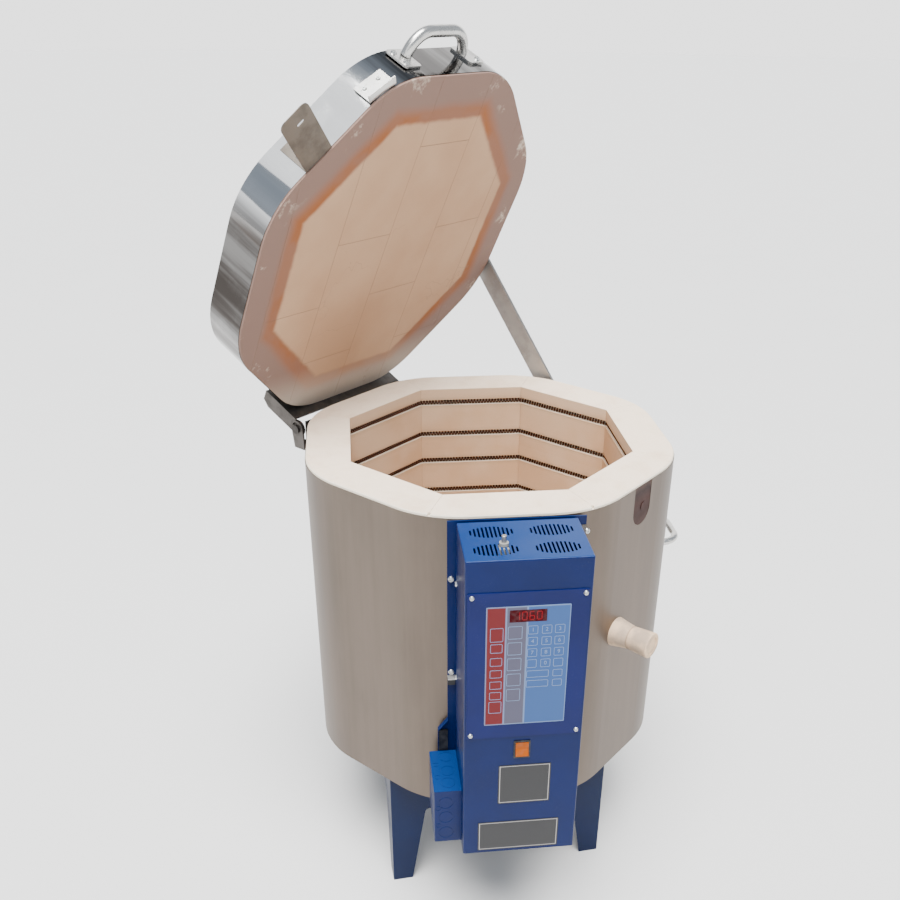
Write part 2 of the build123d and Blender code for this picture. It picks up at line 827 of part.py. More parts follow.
with BuildPart() as peephole_plug:
    with BuildSketch(peephole_at(peephole_waist_reach)) as knob_base:
        Circle(peephole_waist_radius)
    with BuildSketch(peephole_at(plug_reach)) as knob_end:
        Circle(plug_end_radius)
    loft([knob_base.sketch.face(), knob_end.sketch.face()])
    fillet(peephole_plug.edges().filter_by(GeomType.CIRCLE).sort_by(SortBy.LENGTH)[-1], plug_edge)
    drill(peephole_plane.offset(plug_reach), peephole_place, plug_dish_radius, plug_dish_depth)
    with BuildSketch(peephole_at(peephole_waist_reach)) as stem_top:
        Circle(stem_outer_radius)
    with BuildSketch(peephole_at(chamber_apothem + stem_stop - jacket_apothem)) as stem_end:
        Circle(stem_inner_radius)
    loft([stem_top.sketch.face(), stem_end.sketch.face()])
finish(peephole_plug, "peephole_plug")


# Lid hinge: the body bracket's ears stand outside the lid bracket's ears
def ear_plane(offset, base=Plane.XY):
    """Plane across the hinge: x runs outward, y runs up, z along the hinge."""
    turn = radians(hinge_azimuth)
    along = Vector(-sin(turn), cos(turn), 0)
    local = Plane(origin=along * offset, x_dir=(cos(turn), sin(turn), 0), z_dir=-along)
    return Plane(base.location * local.location)


body_ear_inner = ear_offset + ear_thick + ear_gap
with BuildPart() as hinge_body_bracket:
    slab(hinge_body_plane, -body_plate_half, body_plate_half, -body_ear_drop, -body_plate_top_drop,
         -hinge_plate)
    strap_half = body_ear_inner + ear_thick
    slab(hinge_body_plane, -strap_half, strap_half, -body_ear_drop, -body_strap_top_drop, -hinge_plate)
    for side in (-1, 1):
        face_offset = side * (body_ear_inner + ear_thick / 2)
        with BuildSketch(ear_plane(face_offset)) as ear:
            with BuildLine():
                Polyline(
                    (jacket_apothem, rim - body_ear_drop),
                    (jacket_apothem + body_ear_outer, rim - body_ear_drop),
                    (hinge_radial + body_ear_radius, rim - hinge_drop),
                    (hinge_radial, rim - hinge_drop + body_ear_radius),
                    (jacket_apothem + body_ear_lean, rim - hinge_drop),
                    (jacket_apothem, rim - body_strap_top_drop),
                    close=True,
                )
            make_face()
            with Locations((hinge_radial, rim - hinge_drop)):
                Circle(body_ear_radius)
                Circle(hinge_bolt_radius + running_clearance, mode=Mode.SUBTRACT)
        extrude(ear.sketch, amount=ear_thick / 2, both=True)
        with BuildSketch(ear_plane(face_offset)) as stop_slot:
            with BuildLine() as stop_arc:
                CenterArc(
                    (hinge_radial, rim - hinge_drop),
                    stop_radius,
                    90 - lid_open_angle - stop_margin,
                    lid_open_angle + 2 * stop_margin,
                )
            SlotArc(stop_arc.edge(), stop_slot_width)
        extrude(stop_slot.sketch, amount=ear_thick, both=True, mode=Mode.SUBTRACT)
    screw_holes(hinge_body_plane, hinge_body_screws, hinge_screw)
finish(hinge_body_bracket, "hinge_body_bracket")

with BuildPart() as hinge_pivot_bolts:
    hinge_place = [(hinge_radial, rim - hinge_drop)]
    bolt_outer = body_ear_inner + ear_thick
    bolt_length = bolt_outer - ear_offset + ear_gap + hinge_head
    for side in (-1, 1):
        outer_face = ear_plane(side * bolt_outer)
        inner_face = ear_plane(side * (ear_offset - ear_gap))
        disc(outer_face, hinge_place, hinge_head_radius, -side * hinge_head)
        disc(outer_face, hinge_place, hinge_bolt_radius, side * bolt_length)
        disc(inner_face, hinge_place, hinge_head_radius - 1, side * hinge_head)
finish(hinge_pivot_bolts, "hinge_pivot_bolts")

lid_hinge_plane = facet_plane(hinge_azimuth, lid_band_apothem + hinge_plate, 0, lid_frame)
lid_hinge_screws = [(along, lift) for along in lid_screw_places for lift in lid_screw_lifts]
lid_pivot = (hinge_radial, -hinge_drop - lid_gap)
with BuildPart() as hinge_lid_bracket:
    lid_plate_half = ear_offset + ear_thick
    slab(lid_hinge_plane, -lid_plate_half, lid_plate_half, lid_plate_bottom, lid_ear_top, -hinge_plate)
    for side in (-1, 1):
        with BuildSketch(ear_plane(side * (ear_offset + ear_thick / 2), lid_frame)) as ear:
            with BuildLine():
                Polyline(
                    (lid_band_apothem + small_gap, lid_ear_top),
                    (lid_band_apothem + lid_ear_outer - lid_ear_slope[0], lid_ear_top),
                    (lid_band_apothem + lid_ear_outer, lid_ear_top - lid_ear_slope[1]),
                    (hinge_radial + lid_ear_radius, lid_pivot[1]),
                    (hinge_radial - lid_ear_heel, lid_pivot[1]),
                    (lid_band_apothem + 3 * small_gap, lid_plate_bottom),
                    close=True,
                )
            make_face()
            with Locations(lid_pivot):
                Circle(lid_ear_radius)
                Circle(hinge_bolt_radius + running_clearance, mode=Mode.SUBTRACT)
        extrude(ear.sketch, amount=ear_thick / 2, both=True)
        stop_plane = ear_plane(side * (ear_offset + ear_thick), lid_frame)
        stop_place = (hinge_radial, lid_pivot[1] + stop_radius)
        disc(stop_plane, [stop_place], stop_pin_radius, -side * (ear_gap + ear_thick))
    screw_holes(lid_hinge_plane, lid_hinge_screws, hinge_screw)
finish(hinge_lid_bracket, "hinge_lid_bracket")

with BuildPart() as hinge_lid_bolts:
    screws(lid_hinge_plane, lid_hinge_screws, hinge_screw)
finish(hinge_lid_bolts, "hinge_lid_bolts")

# Lid: bricks in rows, a board and a cover above them, and a steel band round the edge
lid_handle_apothem = lid_band_apothem + small_gap + handle_foot[2]
lid_handle_plane = facet_plane(-45, lid_handle_apothem, handle_z, lid_frame)
lid_bow_plane = facet_plane(-45, lid_handle_apothem, handle_z + handle_rod_lift, lid_frame)
handle_half = handle_span / 2
lid_handle_screws = [
    (side * (handle_half + handle_screw_offset), lift)
    for side in (-1, 1)
    for lift in (-handle_screw_lift, handle_screw_lift)
]
lid_corner_centre = (lid_band_apothem - lid_corner_radius) / cos(radians(octagon_turn))
bracket_turn = radians(bracket_azimuth)
bracket_local = Plane(
    origin=(
        lid_corner_centre * cos(radians(-67.5)) + (lid_corner_radius + small_gap) * cos(bracket_turn),
        lid_corner_centre * sin(radians(-67.5)) + (lid_corner_radius + small_gap) * sin(bracket_turn),
        bracket_z,
    ),
    x_dir=(-sin(bracket_turn), cos(bracket_turn), 0),
    z_dir=(cos(bracket_turn), sin(bracket_turn), 0),
)
bracket_plane = Plane(lid_frame.location * bracket_local.location)
bracket_face = bracket_plane.offset(bracket_thick)
striker_plane = facet_plane(-90, lid_band_apothem + small_gap + striker_thick, 0, lid_frame)
striker_screws = [
    (striker_x - striker_screw_offset, striker_screw_lifts[0]),
    (striker_x + striker_screw_offset, striker_screw_lifts[0]),
    (striker_x, striker_screw_lifts[1]),
]
catch_plane = facet_plane(prop_azimuth, prop_inner, 0, lid_frame)
lid_fixings = [
    (lid_handle_plane, lid_handle_screws, plate_screw),
    (bracket_face, bracket_screws, small_screw),
    (striker_plane, striker_screws, small_screw),
    (lid_hinge_plane, lid_hinge_screws, hinge_screw),
]


def drill_lid_fixings():
    """Clearance holes for everything that is screwed to the lid."""
    for fixing_plane, fixing_places, fixing_size in lid_fixings:
        screw_holes(fixing_plane, fixing_places, fixing_size)
    drill(catch_plane, [prop_catch], prop_shank_radius + fit_clearance, prop_shank)


with BuildPart() as lid_bricks:
    with BuildSketch(lid_frame):
        add(lid_brick_plan)
        for edge in lid_row_edges:
            with Locations(Location((edge * cos(radians(45)), edge * sin(radians(45)), 0), (0, 0, 45))):
                Rectangle(joint_gap, 2.2 * lid_band_apothem, mode=Mode.SUBTRACT)
        for across, along in lid_cross_joints:
            turned = (
                (across - along) * cos(radians(45)),
                (across + along) * sin(radians(45)),
                0,
            )
            with Locations(Location(turned, (0, 0, 45))):
                Rectangle(floor_brick_width, joint_gap, mode=Mode.SUBTRACT)
    extrude(amount=lid_brick_thick)
    drill_lid_fixings()
finish(lid_bricks, "lid_bricks")

with BuildPart() as lid_band:
    with BuildSketch(lid_frame.offset(band_lift)):
        add(lid_band_plan)
        add(lid_band_hollow, mode=Mode.SUBTRACT)
    extrude(amount=lid_thick - band_lift)
    drill_lid_fixings()
finish(lid_band, "lid_band")

with BuildPart() as lid_board:
    with BuildSketch(lid_frame.offset(lid_brick_thick)):
        add(lid_brick_plan)
    extrude(amount=lid_board_thick)
finish(lid_board, "lid_board")

with BuildPart() as lid_cover:
    with BuildSketch(lid_frame.offset(lid_brick_thick + lid_board_thick)):
        add(lid_brick_plan)
    extrude(amount=lid_cover_thick)
finish(lid_cover, "lid_cover")

with BuildPart() as lid_handle:
    handle_feet(lid_handle_plane, handle_half + handle_foot_offset, handle_foot)
    bow_handle(lid_bow_plane, handle_half, handle_reach - handle_foot[2], handle_rod, handle_bend,
               handle_lean)
    screw_holes(lid_handle_plane, lid_handle_screws, plate_screw)
finish(lid_handle, "lid_handle")

with BuildPart() as corner_bracket:
    slab(bracket_plane, -bracket_width / 2, bracket_width / 2, 0, bracket_height, bracket_thick)
    slab(bracket_plane, -bracket_width / 2, bracket_width / 2, 0, bracket_thick, bracket_lip)
    screw_holes(bracket_face, bracket_screws, small_screw)
finish(corner_bracket, "corner_bracket")

with BuildPart() as striker_plate:
    striker_left = striker_x - striker_width / 2
    striker_right = striker_x + striker_width / 2
    slab(striker_plane, striker_left, striker_right, striker_z, striker_top, -striker_thick)
    with BuildSketch(lid_frame.offset(striker_z)) as shelf:
        shelf_near = -lid_band_apothem - small_gap
        shelf_far = -lid_band_apothem - small_gap - striker_reach
        with Locations((striker_x, (shelf_near + shelf_far) / 2)):
            Rectangle(striker_width, shelf_near - shelf_far)
        fillet(shelf.vertices().group_by(Axis.Y)[0], striker_corner)
        with Locations((switch_x, switch_y)):
            SlotOverall(*striker_slot, mode=Mode.SUBTRACT)
    extrude(shelf.sketch, amount=striker_thick)
    screw_holes(striker_plane, striker_screws, small_screw)
finish(striker_plate, "striker_plate")

with BuildPart() as lid_screws:
    for fixing_plane, fixing_places, fixing_size in lid_fixings[:-1]:
        screws(fixing_plane, fixing_places, fixing_size)
finish(lid_screws, "lid_screws")

# Prop arm: a flat bar on a shoulder bolt, its open notch rests under a stud on the lid
prop_outer = prop_thick + prop_side_gap
with BuildPart() as prop_pivot_bolt:
    boss = prop_inner - prop_side_gap - jacket_apothem
    disc(facet_plane(prop_azimuth, jacket_apothem, rim), [prop_pivot], prop_head_radius, boss)
    disc(prop_plane.offset(-prop_side_gap), [prop_pivot], prop_bolt_radius, prop_outer + prop_side_gap)
    disc(prop_plane.offset(prop_outer), [prop_pivot], prop_head_radius, prop_head, prop_head_taper)
    disc(facet_plane(prop_azimuth, jacket_apothem, rim), [prop_pivot], prop_shank_radius, -prop_shank)
finish(prop_pivot_bolt, "prop_pivot_bolt")

with BuildPart() as prop_stud:
    stud_base = lid_band_apothem + small_gap / 2 - prop_inner
    disc(catch_plane.offset(-prop_side_gap), [prop_catch], prop_head_radius, stud_base + prop_side_gap)
    disc(catch_plane.offset(-prop_side_gap), [prop_catch], prop_bolt_radius, prop_outer + prop_side_gap)
    disc(catch_plane.offset(prop_outer), [prop_catch], prop_head_radius, stud_head, prop_head_taper)
    disc(catch_plane, [prop_catch], prop_shank_radius, -prop_shank)
finish(prop_stud, "prop_stud")

catch_world = catch_plane.from_local_coords((prop_catch[0], prop_catch[1], 0))
catch_local = prop_plane.to_local_coords(catch_world)
arm_run = Vector(catch_local.X - prop_pivot[0], catch_local.Y - prop_pivot[1], 0)
arm_length = arm_run.length
arm_turn = degrees(atan2(arm_run.Y, arm_run.X))
arm_plane = Plane(prop_plane.location * Location((prop_pivot[0], prop_pivot[1], 0), (0, 0, arm_turn)))
with BuildPart() as prop_arm:
    with BuildSketch(arm_plane):
        with Locations((arm_length / 2, 0)):
            SlotCenterToCenter(arm_length, prop_width)
        Circle(prop_bolt_radius + running_clearance, mode=Mode.SUBTRACT)
        notch_width = 2 * (prop_bolt_radius + prop_notch_clearance)
        with Locations((arm_length, 0)):
            Circle(notch_width / 2, mode=Mode.SUBTRACT)
        with Locations(Location((arm_length, 0, 0), (0, 0, prop_notch_slope))):
            Rectangle(notch_width, prop_width, align=(Align.CENTER, Align.MIN), mode=Mode.SUBTRACT)
    extrude(amount=prop_thick)
finish(prop_arm, "prop_arm")

# Back plate of the control box, with tabs that the box's side screws clamp
with BuildPart() as back_plate:
    slab(plate_plane, plate_left, plate_right, -plate_bottom_drop, -plate_top_drop, -plate_sheet)
    with BuildSketch(plate_plane) as plate_ear:
        with BuildLine():
            Polyline(
                (plate_left, -plate_bottom_drop),
                (plate_left, -plate_ear_top_drop),
                (plate_ear_left, -plate_ear_side_drop),
                (plate_ear_left, -plate_bottom_drop),
                close=True,
            )
        make_face()
    extrude(plate_ear.sketch, amount=-plate_sheet)
    with BuildSketch(plate_plane) as ear_flap:
        with BuildLine():
            Polyline(
                (plate_left, -plate_ear_top_drop),
                (plate_ear_left, -plate_ear_side_drop),
                (plate_ear_left, -plate_ear_side_drop - plate_sheet),
                (plate_left, -plate_ear_top_drop - plate_sheet),
                close=True,
            )
        make_face()
    extrude(ear_flap.sketch, amount=plate_flap)
    tab_left = box_left + box_sheet + tab_gap
    tab_right = tab_left + plate_sheet
    notch_plane = plate_plane.offset(plate_front - side_screw_y - tab_notch_inset)
    for drop in side_screw_drops:
        slab(plate_plane, tab_left, tab_right, -drop - tab_height / 2, -drop + tab_height / 2, tab_reach)
        slab(notch_plane, tab_left - overcut, tab_right + overcut, -drop - tab_notch, -drop + tab_notch,
             tab_reach, mode=Mode.SUBTRACT)
    drill(facet_plane(-90, -plate_front, 0), tail_places, bushing_radius + fit_clearance, sheet_cut)
    drill(facet_plane(-90, -plate_front, 0), [probe_place], probe_radius + fit_clearance, sheet_cut)
    screw_holes(plate_plane, back_screw_places, plate_screw)
finish(back_plate, "back_plate")

with BuildPart() as box_catch:
    catch_right = box_left - catch_gap
    slab(plate_plane, plate_left, catch_right, -catch_top_drop - catch_height, -catch_top_drop, catch_reach)
    slab(plate_plane, plate_left, catch_right, -catch_top_drop, -catch_top_drop + catch_strip,
         catch_strip_reach)
finish(box_catch, "box_catch")

with BuildPart() as wire_guard:
    slab(plate_plane, plate_ear_left + guard_margin, plate_left, -guard_bottom_drop,
         guard_height - guard_bottom_drop, guard_thick)
finish(wire_guard, "wire_guard")

# Box hinge: five knuckles on one pin, the outer ones fixed
knuckle_pitch = (box_hinge_bottom_drop - box_hinge_top_drop) / knuckle_count
hinge_pin_plane = Plane(origin=(box_hinge_x, box_hinge_y, 0), z_dir=(0, 0, 1))


def knuckles(first):
    """Every second knuckle, counted from the bottom."""
    for knuckle in range(first, knuckle_count, 2):
        foot = rim - box_hinge_bottom_drop + knuckle * knuckle_pitch
        with BuildSketch(hinge_pin_plane.offset(foot + knuckle_gap / 2)) as ring:
            Circle(knuckle_radius)
            Circle(box_pin_radius + running_clearance, mode=Mode.SUBTRACT)
        extrude(ring.sketch, amount=knuckle_pitch - knuckle_gap)


def knuckle_web(first, left, right, near, far):
    """The part of a leaf that runs into its own knuckles."""
    for knuckle in range(first, knuckle_count, 2):
        foot = rim - box_hinge_bottom_drop + knuckle * knuckle_pitch
        slab(Plane.XY.offset(foot + knuckle_gap / 2), left, right, near, far, knuckle_pitch - knuckle_gap)


leaf_foot = rim - box_hinge_bottom_drop + knuckle_gap / 2
leaf_height = box_hinge_bottom_drop - box_hinge_top_drop - knuckle_gap
with BuildPart() as box_hinge_fixed:
    web_right = box_hinge_x + knuckle_radius
    knuckle_web(0, web_right - hinge_leaf, web_right, box_hinge_y, plate_front)
    slab(Plane.XY.offset(leaf_foot), web_right, plate_right - leaf_margin, plate_front - hinge_leaf,
         plate_front, leaf_height)
    knuckles(0)
    drill(hinge_pin_plane.offset(rim), [(0, 0)], box_pin_radius + running_clearance, rim)
finish(box_hinge_fixed, "box_hinge_fixed")

with BuildPart() as box_hinge_moving:
    knuckle_web(1, box_right, box_right + hinge_leaf, box_rear, box_hinge_y)
    slab(Plane.XY.offset(leaf_foot), box_right, box_right + hinge_leaf, box_rear - moving_leaf_width,
         box_rear, leaf_height)
    knuckles(1)
    drill(hinge_pin_plane.offset(rim), [(0, 0)], box_pin_radius + running_clearance, rim)
finish(box_hinge_moving, "box_hinge_moving")

with BuildPart() as box_hinge_pin:
    with BuildSketch(hinge_pin_plane.offset(rim - box_hinge_bottom_drop)):
        Circle(box_pin_radius)
    extrude(amount=box_hinge_bottom_drop - box_hinge_top_drop)
finish(box_hinge_pin, "box_hinge_pin")

# Control box: a sheet shell open at the back
box_centre = ((box_left + box_right) / 2, (box_front + box_rear) / 2)
box_width = box_right - box_left
box_depth = box_rear - box_front
box_height = box_bottom_drop - box_top_drop
controller_left = controller_centre - controller_width / 2
controller_right = controller_centre + controller_width / 2
controller_height = controller_bottom_drop - controller_top_drop
controller_middle = (controller_centre, -(controller_top_drop + controller_bottom_drop) / 2)
controller_screw_places = [
    (x, -drop)
    for x in (controller_left + controller_screw_inset, controller_right - controller_screw_inset)
    for drop in (
        controller_top_drop + controller_screw_inset,
        controller_bottom_drop - controller_screw_inset,
    )
]
window_width = window_right - window_left
window_height = window_bottom_drop - window_top_drop
window_middle = ((window_left + window_right) / 2, -(window_top_drop + window_bottom_drop) / 2)
side_screw_places = [(-side_screw_y, -drop) for drop in side_screw_drops]
with BuildPart() as control_box:
    with BuildSketch(Plane.XY.offset(rim - box_bottom_drop)):
        with Locations(box_centre):
            Rectangle(box_width, box_depth)
    extrude(amount=box_height)
    fillet(control_box.edges().filter_by(Axis.Z).group_by(Axis.Y)[0], box_bend)
    fillet(control_box.faces().sort_by(Axis.Z)[-1].edges().sort_by(Axis.Y)[0], box_bend)
    with BuildSketch(Plane.XY.offset(rim - box_bottom_drop + box_sheet)) as hollow:
        with Locations((box_centre[0], box_centre[1] + box_sheet)):
            Rectangle(box_width - 2 * box_sheet, box_depth)
    extrude(hollow.sketch, amount=box_height - 2 * box_sheet, mode=Mode.SUBTRACT)
    slab(
        box_front_plane,
        controller_left + controller_lip,
        controller_right - controller_lip,
        -controller_bottom_drop + controller_lip,
        -controller_top_drop - controller_lip,
        -sheet_cut,
        mode=Mode.SUBTRACT,
    )
    slab(
        box_front_plane,
        bezel_left + bezel_wall - overcut,
        bezel_right - bezel_wall + overcut,
        -bezel_bottom_drop + bezel_wall - overcut,
        -bezel_top_drop - bezel_wall + overcut,
        -sheet_cut,
        mode=Mode.SUBTRACT,
    )
    with BuildSketch(Plane.XY.offset(rim - box_top_drop)) as vents:
        for vent_x, vent_y in vent_centres:
            for slot in range(vent_slots):
                across = (slot - (vent_slots - 1) / 2) * vent_pitch
                length = 2 * vent_half_depth * (1 - (across / vent_half_width) ** 2) ** 0.5
                with Locations((vent_x + across, vent_y)):
                    SlotOverall(length, vent_slot_width, rotation=90)
        with Locations((switch_x, switch_y)):
            Circle(plunger_radius + overcut)
    extrude(vents.sketch, amount=-2 * box_sheet, mode=Mode.SUBTRACT)
    screw_holes(box_front_plane.offset(controller_thick), controller_screw_places, small_screw)
    drill(side_wall_plane, side_screw_places, side_screw[2] + fit_clearance, 2 * box_sheet)
    junction_middle = (-(junction_front + junction_rear) / 2, -(junction_top_drop + junction_bottom_drop) / 2)
    drill(side_wall_plane, [junction_middle], knockout_radius, 2 * box_sheet)
finish(control_box, "control_box")

with BuildPart() as controller_plate:
    with BuildSketch(box_front_plane) as plate_face:
        with Locations(controller_middle):
            RectangleRounded(controller_width, controller_height, controller_corner)
        with Locations(window_middle):
            Rectangle(window_width, window_height, mode=Mode.SUBTRACT)
    extrude(plate_face.sketch, amount=controller_thick)
    screw_holes(box_front_plane.offset(controller_thick), controller_screw_places, small_screw)
finish(controller_plate, "controller_plate")

with BuildPart() as box_screws:
    screws(box_front_plane.offset(controller_thick), controller_screw_places, small_screw)
    screws(side_wall_plane, side_screw_places, side_screw)
finish(box_screws, "box_screws")

with BuildPart() as keypad_overlay:
    with BuildSketch(box_front_plane.offset(controller_thick)) as overlay_face:
        with Locations(((overlay_left + overlay_right) / 2, -(overlay_top_drop + overlay_bottom_drop) / 2)):
            RectangleRounded(
                overlay_right - overlay_left, overlay_bottom_drop - overlay_top_drop, overlay_corner
            )
        with Locations(window_middle):
            Rectangle(window_width, window_height, mode=Mode.SUBTRACT)
    extrude(overlay_face.sketch, amount=overlay_thick)
finish(keypad_overlay, "keypad_overlay")

with BuildPart() as display_window:
    slab(
        box_front_plane.offset(controller_thick + overlay_thick - small_gap),
        window_left + small_gap,
        window_right - small_gap,
        -window_bottom_drop + small_gap,
        -window_top_drop - small_gap,
        -window_thick,
    )
finish(display_window, "display_window")

with BuildPart() as controller_board:
    board_left = overlay_left + board_margin
    board_right = overlay_right - board_margin
    board_top = overlay_top_drop - board_margin
    board_bottom = overlay_bottom_drop - board_margin
    board_plane = box_front_plane.offset(-board_setback)
    slab(board_plane, board_left, board_right, -board_bottom, -board_top, -board_thick)
    display_depth = board_setback + controller_thick + overlay_thick - 2 * small_gap - window_thick
    slab(
        board_plane,
        window_left + overcut,
        window_right - overcut,
        -window_bottom_drop + overcut,
        -window_top_drop - overcut,
        display_depth,
    )
    standoffs = [
        (x, -drop)
        for x in (board_left + standoff_inset, board_right - standoff_inset)
        for drop in (board_top + standoff_inset, board_bottom - standoff_inset)
    ]
    disc(box_front_plane, standoffs, standoff_radius, -board_setback)
    for left, right, bottom_drop, top_drop, depth in (terminal_strip, power_supply):
        slab(board_plane.offset(-board_thick), left, right, -bottom_drop, -top_drop, -depth)
finish(controller_board, "controller_board")

# Rocker switch
bezel_centre = ((bezel_left + bezel_right) / 2, -(bezel_top_drop + bezel_bottom_drop) / 2)
bezel_width = bezel_right - bezel_left
bezel_height = bezel_bottom_drop - bezel_top_drop
rocker_width = bezel_width - 2 * bezel_wall - 2 * small_gap
rocker_height = bezel_height - 2 * bezel_wall - 6 * small_gap
rocker_axle = box_front_plane.offset(-rocker_axle_depth)
with BuildPart() as rocker_bezel:
    with BuildSketch(box_front_plane) as bezel_face:
        with Locations(bezel_centre):
            RectangleRounded(bezel_width, bezel_height, bezel_corner)
    extrude(bezel_face.sketch, amount=bezel_lip)
    with BuildSketch(box_front_plane) as bezel_body:
        with Locations(bezel_centre):
            Rectangle(bezel_width - 2 * bezel_wall + bezel_lip, bezel_height - 2 * bezel_wall + bezel_lip)
    extrude(bezel_body.sketch, amount=-bezel_depth)
    with BuildSketch(box_front_plane.offset(bezel_lip)) as bezel_well:
        with Locations(bezel_centre):
            Rectangle(bezel_width - 2 * bezel_wall, bezel_height - 2 * bezel_wall)
    extrude(bezel_well.sketch, amount=-(bezel_lip + rocker_body_depth + rocker_well), mode=Mode.SUBTRACT)
    axle_middle = Location((bezel_centre[0], bezel_centre[1], 0), (0, 90, 0))
    with BuildSketch(Plane(rocker_axle.location * axle_middle)) as axle:
        Circle(rocker_axle_radius)
    extrude(axle.sketch, amount=bezel_width / 2 - bezel_wall + 2 * small_gap, both=True)
finish(rocker_bezel, "rocker_bezel")

with BuildPart() as rocker:
    rocker_side = Plane(
        rocker_axle.location * Location((bezel_centre[0] - rocker_width / 2, bezel_centre[1], 0), (0, 90, 0))
    )
    half = rocker_height / 2
    lip = bezel_lip + rocker_axle_depth + 2 * small_gap
    proud = rocker_proud + rocker_axle_depth
    foot = rocker_body_depth - 2 * rocker_axle_depth
    rocker_rest = Location((0, 0, 0), (0, 0, -rocker_tilt / 2))
    with BuildSketch(Plane(rocker_side.location * rocker_rest)) as rocker_profile:
        with BuildLine():
            Polyline(
                (foot, -half / 2),
                (-lip, rocker_edge - half),
                (-proud, rocker_edge + small_gap - half),
                (rocker_dip - proud, 0),
                (-proud, half - rocker_edge - small_gap),
                (-lip, half - rocker_edge),
                (foot, half / 2),
                close=True,
            )
        make_face()
        Circle(rocker_axle_radius + running_clearance, mode=Mode.SUBTRACT)
    extrude(rocker_profile.sketch, amount=rocker_width)
finish(rocker, "rocker")

with BuildPart() as name_plates:
    for left, right, top_drop, bottom_drop in (rating_plate, lower_plate):
        with BuildSketch(box_front_plane) as label_face:
            with Locations(((left + right) / 2, -(top_drop + bottom_drop) / 2)):
                RectangleRounded(right - left, bottom_drop - top_drop, label_corner)
        extrude(label_face.sketch, amount=label_thick)
finish(name_plates, "name_plates")

# Lid switch on the box top
switch_plane = Plane(origin=(switch_x, switch_y, rim - box_top_drop))
with BuildPart() as lid_switch_body:
    disc(switch_plane, [(0, 0)], switch_base_radius, switch_base_height)
    disc(switch_plane, [(0, 0)], plunger_radius + overcut - small_gap, -2 * box_sheet)
    block_width, block_depth, block_height = switch_body
    slab(switch_plane.offset(-box_sheet), -block_width / 2, block_width / 2, -block_depth / 2,
         block_depth / 2, -block_height)
    drill(switch_plane.offset(switch_base_height), [(0, 0)], plunger_radius + running_clearance,
          switch_base_height + box_sheet + block_height - switch_floor)
finish(lid_switch_body, "lid_switch_body")

with BuildPart() as lid_switch_plunger:
    disc(switch_plane.offset(plunger_proud), [(0, 0)], plunger_radius, -(plunger_proud + plunger_depth))
    fillet(lid_switch_plunger.edges().sort_by(Axis.Z)[-1], plunger_edge)
finish(lid_switch_plunger, "lid_switch_plunger")

# Relays on the left wall and the transformer on the right wall
with BuildPart() as relays:
    relay_wall = Plane(origin=(box_left + box_sheet, 0, rim), x_dir=(0, 1, 0), z_dir=(1, 0, 0))
    relay_depth, relay_length, relay_height = relay
    for drop in relay_drops:
        relay_near = box_front + relay_inset
        relay_far = relay_near + relay_length
        cap_side, cap_end = relay_cap_inset
        slab(relay_wall, relay_near, relay_far, -drop - relay_height, -drop, relay_depth)
        slab(relay_wall.offset(relay_depth), relay_near + cap_side, relay_far - cap_side,
             -drop - relay_height + cap_end, -drop - cap_end, relay_cap)
finish(relays, "relays")

with BuildPart() as transformer:
    transformer_wall = Plane(origin=(box_right - box_sheet, 0, rim), x_dir=(0, -1, 0), z_dir=(-1, 0, 0))
    core_depth, core_length, core_height = transformer_core
    coil_depth, coil_length, coil_height = transformer_coil
    coil_plane = transformer_wall.offset((core_depth - coil_depth) / 2)
    middle = -box_front - transformer_inset
    core_middle = core_height / 2 - transformer_drop
    slab(transformer_wall, middle - core_length / 2, middle + core_length / 2, -transformer_drop,
         core_height - transformer_drop, core_depth)
    slab(coil_plane, middle - coil_length / 2, middle + coil_length / 2, core_middle - coil_height / 2,
         core_middle + coil_height / 2, coil_depth)
finish(transformer, "transformer")

# Junction box: open toward the control box wall, with knockouts and a cord entry below
with BuildPart() as junction_box:
    junction_foot = rim - junction_bottom_drop
    junction_tall = junction_bottom_drop - junction_top_drop
    slab(Plane.XY.offset(junction_foot), junction_left, box_left, junction_front, junction_rear,
         junction_tall)
    fillet(junction_box.edges().filter_by(Axis.Z).group_by(Axis.X)[0], junction_bend)
    slab(
        Plane.XY.offset(junction_foot + junction_sheet),
        junction_left + junction_sheet,
        box_left + overcut,
        junction_front + junction_sheet,
        junction_rear - junction_sheet,
        junction_tall - 2 * junction_sheet,
        mode=Mode.SUBTRACT,
    )
    junction_top = Plane.XY.offset(rim - junction_top_drop)
    junction_face = facet_plane(-90, -junction_front, rim - junction_top_drop)
    for plane, places, radius in (
        (junction_top, top_knockouts, knockout_radius),
        (junction_top, top_small_knockouts, small_knockout_radius),
        (junction_face, [(front_knockout_x, -depth) for depth in front_knockout_depths], knockout_radius),
        (junction_face, [(x, -depth) for x, depth in front_small_knockouts], small_knockout_radius),
    ):
        with BuildSketch(plane) as knockout_rings:
            with Locations(*places):
                Circle(radius)
                Circle(radius - knockout_ring, mode=Mode.SUBTRACT)
        extrude(knockout_rings.sketch, amount=-knockout_depth, mode=Mode.SUBTRACT)
    cord_entry_y = (junction_front + junction_rear) / 2
    cord_entry_x = (junction_left + box_left) / 2
    drill(Plane.XY.offset(junction_foot + junction_sheet), [(cord_entry_x, cord_entry_y)], knockout_radius,
          junction_sheet + overcut)
finish(junction_box, "junction_box")
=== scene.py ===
"""Looks of an eight-sided test kiln: its finishes, heating coils, keypad print and a plain studio."""

import json
import math

import bmesh
import bpy
from bpy.props import FloatProperty, FloatVectorProperty, IntProperty, PointerProperty
from mathutils import Matrix, Vector


